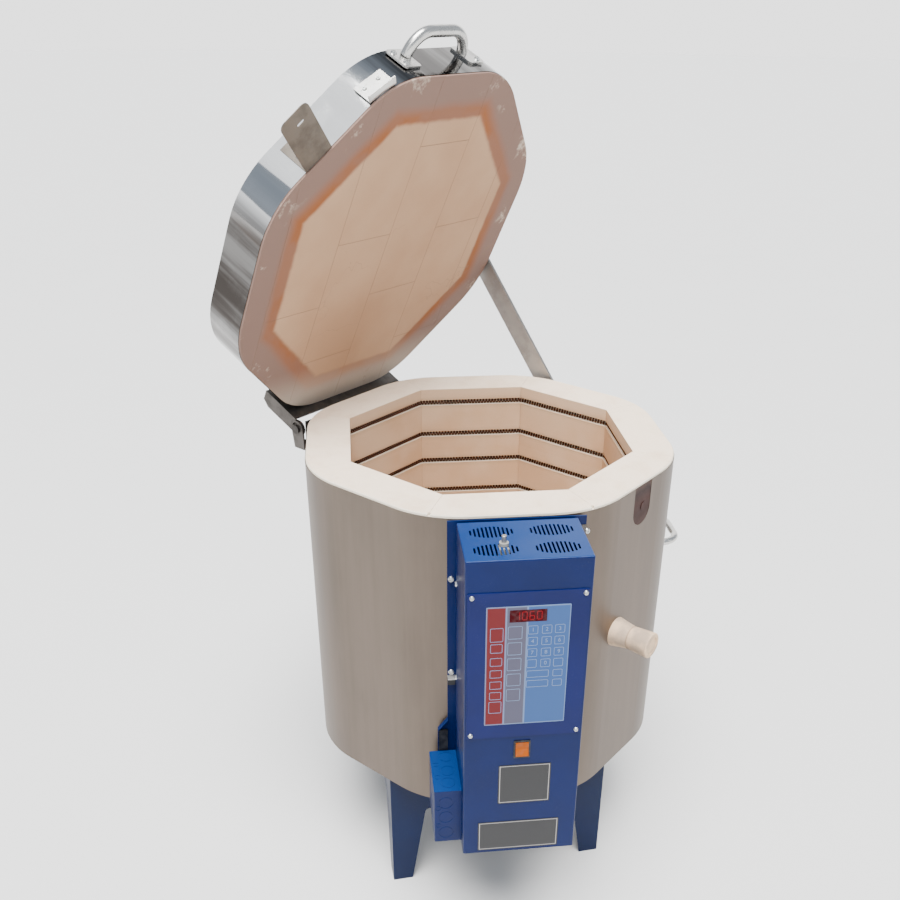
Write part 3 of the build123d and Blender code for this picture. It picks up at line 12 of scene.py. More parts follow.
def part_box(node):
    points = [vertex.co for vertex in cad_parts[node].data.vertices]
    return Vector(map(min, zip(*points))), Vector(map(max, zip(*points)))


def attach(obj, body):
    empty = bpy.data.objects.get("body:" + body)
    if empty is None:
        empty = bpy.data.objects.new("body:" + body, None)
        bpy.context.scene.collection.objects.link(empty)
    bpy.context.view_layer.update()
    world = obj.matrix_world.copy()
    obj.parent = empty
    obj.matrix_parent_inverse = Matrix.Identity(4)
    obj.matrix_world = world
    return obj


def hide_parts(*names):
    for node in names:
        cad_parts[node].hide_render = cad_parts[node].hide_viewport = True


bl_info = {
    "name": "Test kiln looks",
    "version": (1, 0, 0),
    "blender": (4, 5, 0),
    "location": "View3D > Sidebar > Kiln",
    "description": "Finishes a kiln model and adds its heating coils, keypad print and studio",
    "category": "Object",
}

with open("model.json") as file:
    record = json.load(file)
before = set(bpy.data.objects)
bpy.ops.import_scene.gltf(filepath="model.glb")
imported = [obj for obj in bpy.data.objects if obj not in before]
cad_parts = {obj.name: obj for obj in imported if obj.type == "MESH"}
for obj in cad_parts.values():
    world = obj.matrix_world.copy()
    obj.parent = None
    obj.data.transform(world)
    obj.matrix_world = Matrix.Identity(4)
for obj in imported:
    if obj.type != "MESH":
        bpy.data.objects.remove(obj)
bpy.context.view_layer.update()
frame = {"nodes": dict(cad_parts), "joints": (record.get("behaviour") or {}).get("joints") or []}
nodes = frame["nodes"]
joints = {joint["name"]: joint for joint in frame["joints"]}

# Places that several finishes share, in metres
RINGS = 4
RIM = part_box("brick_ring_1")[1].z
CHAMBER_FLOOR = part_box("floor_slab")[1].z
RING_HEIGHT = (RIM - CHAMBER_FLOOR) / RINGS
CHAMBER_APOTHEM = 0.22225
BRICK_WIDTH = 0.1143
GROOVE_DROPS = (0.026, 0.0872)
FRONT = -math.pi / 2
EIGHTH = math.pi / 4


def shade(code):
    """A colour from its screen code, as the linear values that shaders take."""
    channels = [int(code[start:start + 2], 16) / 255 for start in (0, 2, 4)]
    linear = [c / 12.92 if c <= 0.04045 else ((c + 0.055) / 1.055) ** 2.4 for c in channels]
    return (*linear, 1.0)


def colour(name, description, code):
    """A colour property with its default as a screen code."""
    return FloatVectorProperty(name=name, description=description, default=shade(code), size=4,
                               min=0, max=1, subtype="COLOR")


def length(name, description, default):
    """A size property in metres."""
    return FloatProperty(name=name, description=description, default=default, min=0,
                         subtype="DISTANCE", unit="LENGTH")


class KilnColours(bpy.types.PropertyGroup):
    """Colours of the kiln's surfaces."""

    rim: colour("Rim", "Cement-coated top of the brick wall", "f5e0c8")
    chamber: colour("Chamber", "Fired face of the insulating brick", "cda57f")
    chamber_pale: colour("Chamber pale", "Lighter patches of the fired brick", "dcbd9c")
    raw_brick: colour("Raw brick", "Brick where no heat has reached it", "e9ddc9")
    joint: colour("Joint", "Shadowed joint between bricks", "8a715c")
    lid_print: colour("Lid print", "Clean octagon that the chamber leaves on the lid", "b38f70")
    lid_scorch: colour("Lid scorch", "Orange ring round the octagon", "935a37")
    lid_outer: colour("Lid outer", "Grey-brown border of the lid's underside", "846b60")
    jacket_light: colour("Jacket light", "Bright streaks of the satin sheet", "6d6157")
    jacket_dark: colour("Jacket dark", "Dull streaks of the satin sheet", "5d534a")
    mirror: colour("Mirror steel", "Polished band and cover of the lid", "dcdcdb")
    # Painted reflection: the dark colour below stands for dark surroundings reflected in three flats of the
    # band.
    mirror_dark_reflection: colour("Mirror dark", "Tarnished flats of the band", "2e2926")
    # Painted reflection streaks, mixed with finger smears, take the dull colour below.
    mirror_smear_and_reflection: colour("Mirror dull", "Duller streaks of the band", "77726f")
    bright: colour("Bright steel", "Polished handles and small plates", "c9c7c3")
    hinge: colour("Hinge steel", "Dull hinge brackets", "5f5a56")
    prop: colour("Prop steel", "Plated prop arm", "a8a39e")
    screw: colour("Screw steel", "Zinc-plated screws", "c3c4c2")
    wire: colour("Element wire", "Oxidised resistance wire", "6a3a22")
    paint: colour("Box paint", "Gloss blue of the control box", "011547")
    # Painted highlight: a lighter blue for faces that look up, in place of the bright light their gloss
    # reflects.
    paint_top_highlight: colour("Box paint top", "Faded paint of faces that look up", "022f66")
    stand_paint: colour("Stand paint", "Blue of the folded legs", "01153a")
    panel: colour("Panel", "Indigo of the controller plate", "08154c")
    porcelain: colour("Porcelain", "Cream ceramic of the plug and bushings", "ad9783")
    amber: colour("Amber", "Rocker switch", "8e4201")
    film_red: colour("Film red", "Left strip of the keypad film", "5f181b")
    film_grey: colour("Film grey", "Middle strip of the keypad film", "4c4b5b")
    film_blue: colour("Film blue", "Right field of the keypad film", "345080")
    film_line: colour("Film line", "Pale print on the keypad film", "6b7e9e")
    window: colour("Window", "Red display window", "38030a")


class KilnSizes(bpy.types.PropertyGroup):
    """Sizes of the pieces that are made here."""

    coil_pitch: length("Coil pitch", "Distance from one curl of the element to the next", 0.0055)
    coil_radius: length("Coil radius", "Outer radius of the element's curls", 0.0045)
    wire_radius: length("Wire radius", "Radius of the resistance wire", 0.0009)
    tail_radius: length("Tail radius", "Outer radius of the twisted tails", 0.0025)
    coil_sides: IntProperty(name="Coil sides", description="Points along one curl", default=10, min=6, max=32)
    key_line: length("Key line", "Width of the lines round the keys", 0.0007)
    print_depth: length("Print depth", "How far the print stands off the film", 0.0001)


class KilnStage(bpy.types.PropertyGroup):
    """Camera and studio."""

    camera_place: FloatVectorProperty(name="Camera place", description="Where the camera stands", size=3,
                                      default=(-0.20506, -1.53411, 1.3900), subtype="TRANSLATION",
                                      unit="LENGTH")
    camera_turn: FloatVectorProperty(name="Camera turn", description="Pitch, roll and yaw", size=3,
                                     default=tuple(math.radians(a) for a in (-29.93, 0.64, 6.87)),
                                     subtype="EULER")
    lens: FloatProperty(name="Lens", description="Focal length on a 36 mm sensor", default=40.34,
                        unit="CAMERA")
    shift: FloatVectorProperty(name="Shift", description="Lens shift that frames the kiln", size=2,
                               default=(-0.0252, 0.1374))
    floor: colour("Floor", "Plain studio floor", "dddcda")
    sky_low: colour("Low surroundings", "Studio walls seen near the horizon", "8b9198")
    sky_high: colour("High surroundings", "Studio ceiling", "6c747e")
    sky_back: colour("Back wall", "White wall behind the kiln", "ffffff")
    sky_power: FloatProperty(name="Surroundings power", description="Strength of the light from all sides",
                             default=2.4, min=0)
    top_power: FloatProperty(name="Top light power", description="Strength of the wide overhead light",
                             default=9.0, min=0)
    fill_power: FloatProperty(name="Fill power", description="Power of the soft light in front", default=12.0,
                              min=0, unit="POWER")


class Wire:
    """An output socket in a material's nodes. Arithmetic on it adds Math nodes."""

    def __init__(self, tree, socket=None):
        self.tree = tree
        self.socket = socket

    def node(self, kind, settings=None, inputs=None, output=0):
        """Add any node: its settings first, then the values or links of its sockets."""
        made = self.tree.nodes.new(kind)
        for name, value in (settings or {}).items():
            if name == "stops":
                set_stops(made.color_ramp, value)
            else:
                setattr(made, name, value)
        for name, value in (inputs or {}).items():
            if isinstance(value, Wire):
                self.tree.links.new(value.socket, made.inputs[name])
            else:
                made.inputs[name].default_value = value
        return Wire(self.tree, made.outputs[output])

    def math(self, operation, *values):
        """One Math node on these values."""
        return self.node("ShaderNodeMath", {"operation": operation}, dict(enumerate(values)))

    def __add__(self, other):
        return self.math("ADD", self, other)

    def __radd__(self, other):
        return self.math("ADD", other, self)

    def __sub__(self, other):
        return self.math("SUBTRACT", self, other)

    def __rsub__(self, other):
        return self.math("SUBTRACT", other, self)

    def __mul__(self, other):
        return self.math("MULTIPLY", self, other)

    def __rmul__(self, other):
        return self.math("MULTIPLY", other, self)

    def __truediv__(self, other):
        return self.math("DIVIDE", self, other)

    def __rtruediv__(self, other):
        return self.math("DIVIDE", other, self)

    def __abs__(self):
        return self.math("ABSOLUTE", self)

    def most(self, other):
        """The larger of two values."""
        return self.math("MAXIMUM", self, other)

    def rise(self, low, high):
        """Goes softly from 0 to 1 as the value goes from low to high, or back where high is the lower one."""
        edges = {"Value": self, "From Min": low, "From Max": high}
        return self.node("ShaderNodeMapRange", {"interpolation_type": "SMOOTHSTEP"}, edges)

    def mix(self, first, second):
        """The colour that goes from first to second as this value goes from 0 to 1."""
        return self.node("ShaderNodeMix", {"data_type": "RGBA"}, {0: self, 6: first, 7: second}, 2)

    def axis(self, name):
        """One coordinate of a place."""
        return self.node("ShaderNodeSeparateXYZ", None, {0: self}, name)

    def scaled(self, x, y, z):
        """A place with each coordinate multiplied."""
        return self.node("ShaderNodeVectorMath", {"operation": "MULTIPLY"}, {0: self, 1: (x, y, z)})

    def along(self, direction):
        """How far a place lies along a direction."""
        inputs = {0: self, 1: direction}
        return self.node("ShaderNodeVectorMath", {"operation": "DOT_PRODUCT"}, inputs, "Value")

    def noise(self, scale, detail=3.0, roughness=0.5, distortion=0.0):
        """Soft random value at a place, mostly between 0.3 and 0.7."""
        inputs = {"Vector": self, "Scale": scale, "Detail": detail, "Roughness": roughness,
                  "Distortion": distortion}
        return self.node("ShaderNodeTexNoise", None, inputs)

    def grains(self, scale, output="Distance"):
        """Distance to the nearest of many scattered points, or another output of that node."""
        return self.node("ShaderNodeTexVoronoi", None, {"Vector": self, "Scale": scale}, output)


def set_stops(ramp, stops):
    """Give a colour ramp these (place, colour) stops."""
    while len(ramp.elements) < len(stops):
        ramp.elements.new(1.0)
    for element, (place, value) in zip(ramp.elements, stops):
        element.position = place
        element.color = value


CHANNELS = {
    "base": "Base Color",
    "rough": "Roughness",
    "metal": "Metallic",
    "coat": "Coat Weight",
    "coat_rough": "Coat Roughness",
    "glow": "Emission Color",
    "glow_power": "Emission Strength",
    "specular": "Specular IOR Level",
}


def start(name):
    """A new node material, and the place of each point in the kiln's frame."""
    material = bpy.data.materials.new(name)
    material.use_nodes = True
    place = Wire(material.node_tree).node("ShaderNodeTexCoord", output="Object")
    return material, place


def surface(material, height=None, depth=0.0, **channels):
    """Set the shader's channels. A height from 0 to 1 stands out by the given depth."""
    tree = material.node_tree
    shader = tree.nodes["Principled BSDF"]
    for name, value in channels.items():
        socket = shader.inputs[CHANNELS[name]]
        if isinstance(value, Wire):
            tree.links.new(value.socket, socket)
        else:
            socket.default_value = value
    if height is not None:
        bump = height.node("ShaderNodeBump", None, {"Height": height, "Distance": depth}, "Normal")
        tree.links.new(bump.socket, shader.inputs["Normal"])
    return material


def dress(material, *names):
    """Give these CAD nodes the finish."""
    for name in names:
        for slot in nodes[name].material_slots:
            slot.material = material


def octagon_apothem(place):
    """Distance from the axis, measured square to the nearest flat."""
    x = abs(place.axis("X"))
    y = abs(place.axis("Y"))
    return x.most(y).most((x + y) * math.sqrt(0.5))


def line_at(value, place, half_width):
    """1 on a line where the value meets the place, 0 away from it."""
    return abs(value - place).rise(half_width, half_width * 0.4)


def closed_lid_place(place):
    """Where a point of the open lid would lie with the lid closed."""
    hinge = joints["lid_hinge"]
    pivot = Matrix.Translation(hinge["pos_m"])
    turn = Matrix.Rotation(math.radians(hinge["range_deg"][0]), 4, Vector(hinge["axis"]))
    closing = pivot @ turn @ pivot.inverted()
    moved = {"Vector": place, "Location": closing.to_translation(), "Rotation": closing.to_euler()}
    return place.node("ShaderNodeMapping", None, moved)


# Brickwork


def brick_grain(place):
    """Colour variation and open pores of soft insulating brick."""
    pores = place.grains(900.0).rise(0.34, 0.16) * place.grains(900.0, "Color").axis("X").rise(0.55, 0.75)
    pits = place.grains(260.0).rise(0.2, 0.1) * place.grains(260.0, "Color").axis("Y").rise(0.8, 0.9)
    return pores.most(pits)


def wall_brick_finish(colours):
    """Insulating brick of the wall and floor: pale coated rim, fired chamber face, raw where it is hidden."""
    material, place = start("fire_brick_finish")
    height = place.axis("Z")
    apothem = octagon_apothem(place)
    pores = brick_grain(place)
    cloud = place.noise(9.0, 4.0)
    azimuth = place.node("ShaderNodeMath", {"operation": "ARCTAN2"}, {0: place.axis("Y"), 1: place.axis("X")})
    block = (azimuth / EIGHTH).math("ROUND", azimuth / EIGHTH)
    row = ((height - CHAMBER_FLOOR) / RING_HEIGHT).math("FLOOR", (height - CHAMBER_FLOOR) / RING_HEIGHT)
    tone = block.math("FRACT", (block * 0.37 + row * 0.61).math("SINE", block * 0.37 + row * 0.61) * 43.7)
    fired = (cloud.rise(0.35, 0.65) * 0.6 + tone * 0.35).mix(colours.chamber, colours.chamber_pale)
    inside = apothem.rise(CHAMBER_APOTHEM + 0.004, CHAMBER_APOTHEM + 0.0005)
    on_rim = height.rise(RIM - 0.0012, RIM - 0.0004)
    depth_in = (RIM - height).rise(0.0, 0.03)
    body = inside.mix(colours.raw_brick, depth_in.mix(colours.chamber_pale, fired))
    dust = place.noise(28.0, 4.0, 0.6).rise(0.42, 0.72) * 0.35
    coated = dust.mix(colours.rim, colours.chamber_pale)
    base = on_rim.mix(body, coated)
    # Darker bands along the element grooves, in the joint colour.
    groove_darkening = height * 0
    for drop in GROOVE_DROPS:
        in_row = (RIM - height).math("MODULO", RIM - height, RING_HEIGHT)
        groove_darkening = groove_darkening.most(abs(in_row - drop).rise(0.014, 0.004))
    groove_darkening = groove_darkening * inside * 0.25
    base = groove_darkening.mix(base, colours.joint)
    base = (pores * 0.35).mix(base, colours.joint)
    return surface(
        material,
        base=base,
        rough=0.86 + cloud * 0.12,
        specular=0.25,
        height=place.noise(420.0, 4.0, 0.65) - pores * 0.9,
        depth=0.00035,
    )


LID_ROW_EDGES = (-0.254, -0.1397, -0.0254, 0.0889, 0.2032)
LID_CROSS_JOINTS = (
    (-0.197, 0.072), (-0.0825, -0.041), (-0.0825, 0.188), (0.0318, -0.189), (0.0318, 0.074),
    (0.146, -0.033), (0.146, 0.195),
)
LID_PRINT_APOTHEM = 0.2266


def lid_brick_finish(colours):
    """Underside of the lid: clean octagon, orange ring, grey-brown border, joints and hairline cracks."""
    material, place = start("lid_brick_finish")
    closed = closed_lid_place(place)
    across = closed.along((math.sqrt(0.5), math.sqrt(0.5), 0))
    along = closed.along((-math.sqrt(0.5), math.sqrt(0.5), 0))
    wobble = closed.noise(7.0, 3.0) - 0.5
    fine = closed.noise(45.0, 4.0) - 0.5
    apothem = octagon_apothem(closed)
    worn = apothem + wobble * 0.018 + fine * 0.004
    outside = (apothem + fine * 0.006).rise(LID_PRINT_APOTHEM - 0.004, LID_PRINT_APOTHEM + 0.005)
    border = worn.rise(LID_PRINT_APOTHEM + 0.004, LID_PRINT_APOTHEM + 0.036)
    uneven = closed.noise(11.0, 3.0).rise(0.4, 0.62) * 0.45
    scorch = border.most(uneven).mix(colours.lid_scorch, colours.lid_outer)
    cloud = closed.noise(5.0, 4.0).rise(0.35, 0.65)
    clean = (cloud * 0.25).mix(colours.lid_print, colours.chamber_pale)
    base = outside.mix(clean, scorch)
    joint = along * 0
    for edge in LID_ROW_EDGES:
        joint = joint.most(line_at(across, edge, 0.0009))
    for row, place_along in LID_CROSS_JOINTS:
        in_row = abs(across - row).rise(BRICK_WIDTH / 2 + 0.0005, BRICK_WIDTH / 2 - 0.0005)
        joint = joint.most(line_at(along, place_along, 0.0009) * in_row)
    cracked = closed.scaled(1.0, 1.0, 0.0).noise(2.3, 5.0, 0.6, 0.4)
    crack = abs(cracked - 0.5).rise(0.0022, 0.0004) * closed.noise(6.0, 1.0).rise(0.52, 0.6)
    pores = brick_grain(closed)
    dark = (joint * (0.55 - outside * 0.3)).most(crack * 0.35).most(pores * 0.3)
    scuffs = closed.noise(13.0, 5.0, 0.7).rise(0.58, 0.68) * apothem.rise(0.255, 0.28)
    # Paler towards the hinge: a pale dusty zone, and painted light that lifts the shade near the hinge.
    hinge_side_dust_and_light = along.rise(0.19, 0.29) * outside
    base = (scuffs * 0.5).most(hinge_side_dust_and_light * 0.45).mix(base, colours.raw_brick)
    base = dark.mix(base, colours.joint)
    return surface(
        material,
        base=base,
        rough=0.9,
        specular=0.2,
        height=closed.noise(420.0, 4.0, 0.65) - pores * 0.9 - joint * 0.5,
        depth=0.0003,
    )


class KILN_OT_brickwork(bpy.types.Operator):
    """Finish the wall, floor and lid bricks"""

    bl_idname = "kiln.brickwork"
    bl_label = "Brickwork"

    def execute(self, context):
        colours = context.scene.kiln_colours
        rings = [f"brick_ring_{number + 1}" for number in range(RINGS)]
        dress(wall_brick_finish(colours), "floor_slab", *rings)
        dress(lid_brick_finish(colours), "lid_bricks")
        return {"FINISHED"}


# Sheet metal


def jacket_finish(colours):
    """Satin stainless sheet with faint upright streaks, smudges and a fine upright grain."""
    material, place = start("jacket_steel_finish")
    streaks = place.scaled(1.0, 1.0, 0.05).noise(60.0, 5.0, 0.6)
    grain = place.scaled(1.0, 1.0, 0.02).noise(1400.0, 2.0)
    clouds = place.scaled(1.0, 1.0, 0.4).noise(8.0, 5.0, 0.6)
    shine = streaks.rise(0.25, 0.75) * 0.35 + clouds.rise(0.3, 0.7) * 0.65
    return surface(
        material,
        base=shine.mix(colours.jacket_dark, colours.jacket_light),
        rough=0.36 + clouds * 0.12 + grain * 0.06,
        metal=0.82,
        height=grain,
        depth=0.00002,
    )


# How far from the lid's axis a flat of the band begins to show, and shows in full
BAND_FLAT = (0.286, 0.2965)


def mirror_finish(colours):
    """Mirror steel band with finger marks, and painted reflections: dark and bright streaks, a painted bright
    reflection at the front and painted dark reflections on three flats.
    """
    material, place = start("mirror_steel_finish")
    closed = closed_lid_place(place)
    waves = closed.scaled(1.0, 1.0, 0.3).noise(9.0, 2.0)
    # Painted reflection streaks across the band.
    streaks = closed.scaled(1.0, 1.0, 0.06).noise(24.0, 4.0, 0.6).rise(0.36, 0.64)
    smears = closed.noise(24.0, 4.0, 0.6).rise(0.5, 0.75)
    # Painted dark reflections on three flats of the band.
    painted_dark_reflection = closed.axis("X").rise(-0.27, -0.292) * 0.6
    for side, amount in ((math.sqrt(0.5), 1.0), (-math.sqrt(0.5), 0.92)):
        painted_dark_reflection = painted_dark_reflection.most(closed.along((side, -math.sqrt(0.5), 0)).rise(*BAND_FLAT) * amount)
    # Painted bright reflection on the front flat and beside it.
    front_flat = closed.axis("Y").rise(-BAND_FLAT[0], -BAND_FLAT[1])
    painted_bright_reflection = front_flat.most(closed.along((-0.383, -0.924, 0)).rise(0.3, 0.307))
    tone = (streaks * 0.7 + smears * 0.3).mix(colours.mirror_smear_and_reflection, colours.mirror)
    tone = (painted_bright_reflection * 0.85).mix(tone, colours.mirror)
    tone = (painted_dark_reflection * (1.0 - streaks * 0.2)).mix(tone, colours.mirror_dark_reflection)
    return surface(
        material,
        base=tone,
        rough=0.07 + smears * 0.1,
        metal=1.0,
        height=waves,
        depth=0.003,
    )


def steel_finish(name, base, rough, grain_scale=700.0, marks=0.3, depth=0.00003):
    """Plain steel with fine scratches and patches that are duller than the rest."""
    material, place = start(name)
    patches = place.noise(38.0, 5.0, 0.6).rise(0.4, 0.7)
    scratches = place.scaled(1.0, 0.15, 1.0).noise(grain_scale, 3.0)
    dull = tuple(channel * (1 - marks) for channel in base[:3]) + (1.0,)
    return surface(
        material,
        base=patches.mix(tuple(base), dull),
        rough=rough + patches * 0.12 + scratches * 0.08,
        metal=0.9,
        height=scratches,
        depth=depth,
    )


def stained_plate_finish(colours):
    """Cover plate burnt to a dark red-brown heat stain, paler at its top edge."""
    material, place = start("stained_steel_finish")
    low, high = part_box("stained_cover_plate")
    patches = place.noise(60.0, 5.0, 0.65)
    up = ((place.axis("Z") - low.z) / (high.z - low.z)) + (patches - 0.5) * 0.4
    burnt = {
        "stops": (
            (0.0, shade("3b2019")), (0.3, shade("31160f")), (0.6, shade("3a1c14")), (0.85, shade("2a1612")),
            (1.0, shade("4a352c")),
        )
    }
    stain = up.node("ShaderNodeValToRGB", burnt, {"Fac": up})
    return surface(material, base=stain, rough=0.5 + patches * 0.3, metal=0.45, height=patches, depth=0.0002)


def paint_finish(name, base, top, rough=0.3):
    """Baked gloss paint with a slight orange peel and rubbed specks, and a painted highlight in the top
    colour on faces that look up.
    """
    material, place = start(name)
    # Painted highlight: faces that look up take the lighter top colour.
    upward_highlight = place.node("ShaderNodeNewGeometry", output="Normal").axis("Z").rise(0.5, 0.9)
    clouds = place.noise(11.0, 4.0)
    specks = place.grains(420.0).rise(0.12, 0.05) * place.noise(9.0, 2.0).rise(0.5, 0.62)
    darker = tuple(channel * 0.8 for channel in base[:3]) + (1.0,)
    paler = tuple(channel * 0.7 + 0.12 for channel in base[:3]) + (1.0,)
    painted = upward_highlight.mix(clouds.rise(0.3, 0.7).mix(darker, tuple(base)), tuple(top))
    return surface(
        material,
        base=(specks * 0.5).mix(painted, paler),
        rough=rough + clouds.rise(0.4, 0.7) * 0.12,
        specular=0.16,
        coat=0.04,
        coat_rough=0.15,
        height=place.noise(520.0, 2.0),
        depth=0.00006,
    )


class KILN_OT_jacket(bpy.types.Operator):
    """Finish the jacket, its base pan and the stained cover plate"""

    bl_idname = "kiln.jacket"
    bl_label = "Jacket"

    def execute(self, context):
        colours = context.scene.kiln_colours
        dress(jacket_finish(colours), "jacket", "base_pan")
        dress(stained_plate_finish(colours), "stained_cover_plate")
        return {"FINISHED"}


class KILN_OT_lid_metal(bpy.types.Operator):
    """Finish the lid's band, cover and board"""

    bl_idname = "kiln.lid_metal"
    bl_label = "Lid band and cover"

    def execute(self, context):
        colours = context.scene.kiln_colours
        dress(mirror_finish(colours), "lid_band")
        dress(steel_finish("lid_cover_finish", colours.bright, 0.3, 500.0, 0.12), "lid_cover")
        board, place = start("lid_board_finish")
        fibres = place.scaled(1.0, 1.0, 6.0).noise(300.0, 4.0, 0.7)
        pulp = fibres.mix(shade("d8d2c4"), shade("b9b0a0"))
        dress(surface(board, base=pulp, rough=0.95, height=fibres, depth=0.0003), "lid_board")
        return {"FINISHED"}


class KILN_OT_hardware(bpy.types.Operator):
    """Finish the hinges, prop, handles, small plates and screws"""

    bl_idname = "kiln.hardware"
    bl_label = "Hardware"

    def execute(self, context):
        colours = context.scene.kiln_colours
        bright = steel_finish("bright_steel_finish", colours.bright, 0.16, marks=0.15)
        dress(bright, "jacket_handle", "lid_handle", "corner_bracket")
        dress(steel_finish("striker_finish", shade("686159"), 0.36, marks=0.25), "striker_plate")
        hinge = steel_finish("hinge_steel_finish", colours.hinge, 0.42, 500.0, 0.35)
        dress(hinge, "hinge_body_bracket", "hinge_lid_bracket", "box_hinge_fixed")
        dress(steel_finish("prop_steel_finish", colours.prop, 0.4, 500.0, 0.2), "prop_arm")
        dress(steel_finish("pivot_steel_finish", shade("4f4b48"), 0.35), "hinge_pivot_bolts")
        screw = steel_finish("screw_steel_finish", colours.screw, 0.22, marks=0.2)
        dress(screw, "body_screws", "prop_pivot_bolt", "box_hinge_pin", "lid_screws", "hinge_lid_bolts",
              "prop_stud", "box_screws")
        dress(steel_finish("plunger_steel_finish", shade("b8b6b0"), 0.3), "lid_switch_plunger")
        return {"FINISHED"}


class KILN_OT_painted(bpy.types.Operator):
    """Finish the painted stand, control box and controller plate"""

    bl_idname = "kiln.painted"
    bl_label = "Painted sheet"

    def execute(self, context):
        colours = context.scene.kiln_colours
        stand = paint_finish("stand_blue_finish", colours.stand_paint, colours.stand_paint, 0.36)
        dress(stand, "stand_frame", "leg_right_rear", "leg_left_rear", "leg_left_front", "leg_right_front")
        box = paint_finish("box_blue_finish", colours.paint, colours.paint_top_highlight)
        dress(box, "back_plate", "control_box", "junction_box", "box_hinge_moving")
        dress(paint_finish("panel_blue_finish", colours.panel, colours.panel, 0.34), "controller_plate")
        return {"FINISHED"}


# Ceramics


def porcelain_finish(colours):
    """Cream fired ceramic with dark specks."""
    material, place = start("porcelain_finish")
    specks = place.grains(330.0).rise(0.22, 0.1) * place.grains(330.0, "Color").axis("X").rise(0.72, 0.8)
    clouds = place.noise(30.0, 4.0)
    cream = clouds.rise(0.35, 0.65).mix(colours.porcelain, colours.chamber_pale)
    base = (specks * 0.6).mix(cream, colours.joint)
    return surface(material, base=base, rough=0.7 + clouds * 0.2, specular=0.35,
                   height=place.noise(500.0, 3.0) - specks, depth=0.0002)


def plug_finish(colours):
    """Peephole plug: cream ceramic with a brown stain that spreads from the seam."""
    material, place = start("peephole_plug_finish")
    outward = Vector((1, -1, 0)).normalized()
    reach = place.along(outward)
    seam = max(corner.dot(outward) for corner in piece_corners("peephole_tube"))
    clouds = place.noise(34.0, 4.0)
    cream = clouds.rise(0.35, 0.65).mix(colours.porcelain, colours.chamber_pale)
    blots = place.noise(55.0, 4.0, 0.6).rise(0.38, 0.6)
    low = place.axis("Z").rise(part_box("peephole_plug")[1].z - 0.016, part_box("peephole_plug")[0].z)
    stain = (reach - seam).rise(0.016, 0.001) * blots * low
    stain = stain.most((reach - seam).rise(0.003, 0.0005) * 0.6)
    base = (stain * 0.8).mix(cream, shade("5d3a24"))
    return surface(material, base=base, rough=0.72 + clouds * 0.15, specular=0.3,
                   height=place.noise(500.0, 3.0), depth=0.0002)


def piece_corners(name):
    """Points of a CAD node."""
    return [vertex.co for vertex in nodes[name].data.vertices]


class KILN_OT_ceramics(bpy.types.Operator):
    """Finish the peephole, its plug, the bushings and the thermocouple"""

    bl_idname = "kiln.ceramics"
    bl_label = "Ceramics"

    def execute(self, context):
        colours = context.scene.kiln_colours
        dress(porcelain_finish(colours), "element_bushings", "thermocouple", "peephole_tube")
        dress(plug_finish(colours), "peephole_plug")
        brass = steel_finish("terminal_brass_finish", shade("b5914c"), 0.3)
        dress(brass, "element_terminals")
        return {"FINISHED"}


# Heating elements


def rounded_route(corners, radius, step):
    """Points along straight runs joined by arcs, about one step apart."""
    points = [corners[0]]
    for before, corner, after in zip(corners, corners[1:], corners[2:]):
        run_in = (corner - before).normalized()
        run_out = (after - corner).normalized()
        turn = run_in.angle(run_out)
        cut = radius * math.tan(turn / 2)
        toward = (run_out - run_in).normalized()
        centre = corner + toward * math.hypot(radius, cut)
        axis = run_in.cross(run_out).normalized()
        start_arm = corner - run_in * cut - centre
        pieces = max(2, math.ceil(radius * turn / step))
        for piece in range(pieces + 1):
            points.append(centre + Matrix.Rotation(turn * piece / pieces, 3, axis) @ start_arm)
    points.append(corners[-1])
    return points


def element_corners(ring):
    """Corners of one element: round the upper groove, across at the front, round the lower groove."""
    tail_x = 0.016
    coil_apothem = CHAMBER_APOTHEM + 0.0063
    seat = -0.0006
    ring_top = RIM - ring * RING_HEIGHT
    corner_reach = coil_apothem / math.cos(EIGHTH / 2)
    corners = []
    for drop in GROOVE_DROPS:
        height = ring_top - drop + seat
        corners.append(Vector((tail_x, -coil_apothem, height)))
        for corner in range(8):
            turn = FRONT + EIGHTH / 2 + corner * EIGHTH
            corners.append(Vector((corner_reach * math.cos(turn), corner_reach * math.sin(turn), height)))
        corners.append(Vector((-tail_x, -coil_apothem, height)))
    return corners


def walk(route, step):
    """Evenly spaced (place, direction) pairs along a route."""
    travelled = 0.0
    wanted = 0.0
    for near, far in zip(route, route[1:]):
        run = (far - near).length
        if run == 0:
            continue
        while wanted <= travelled + run:
            yield near.lerp(far, (wanted - travelled) / run), (far - near) / run
            wanted += step
        travelled += run


def add_strand(curve, points, radius_factor=1.0):
    """One open strand of a curve, through these points."""
    strand = curve.splines.new("POLY")
    strand.points.add(len(points) - 1)
    for knot, place in zip(strand.points, points):
        knot.co = (*place, 1.0)
        knot.radius = radius_factor


def wire_finish(colours):
    """Dark brown oxide scale on resistance wire."""
    material, place = start("element_wire_finish")
    scale = place.noise(160.0, 4.0, 0.6)
    base = scale.rise(0.35, 0.65).mix(colours.wire, shade("5b3a26"))
    return surface(material, base=base, rough=0.55 + scale * 0.2, metal=0.25, height=scale, depth=0.0001)


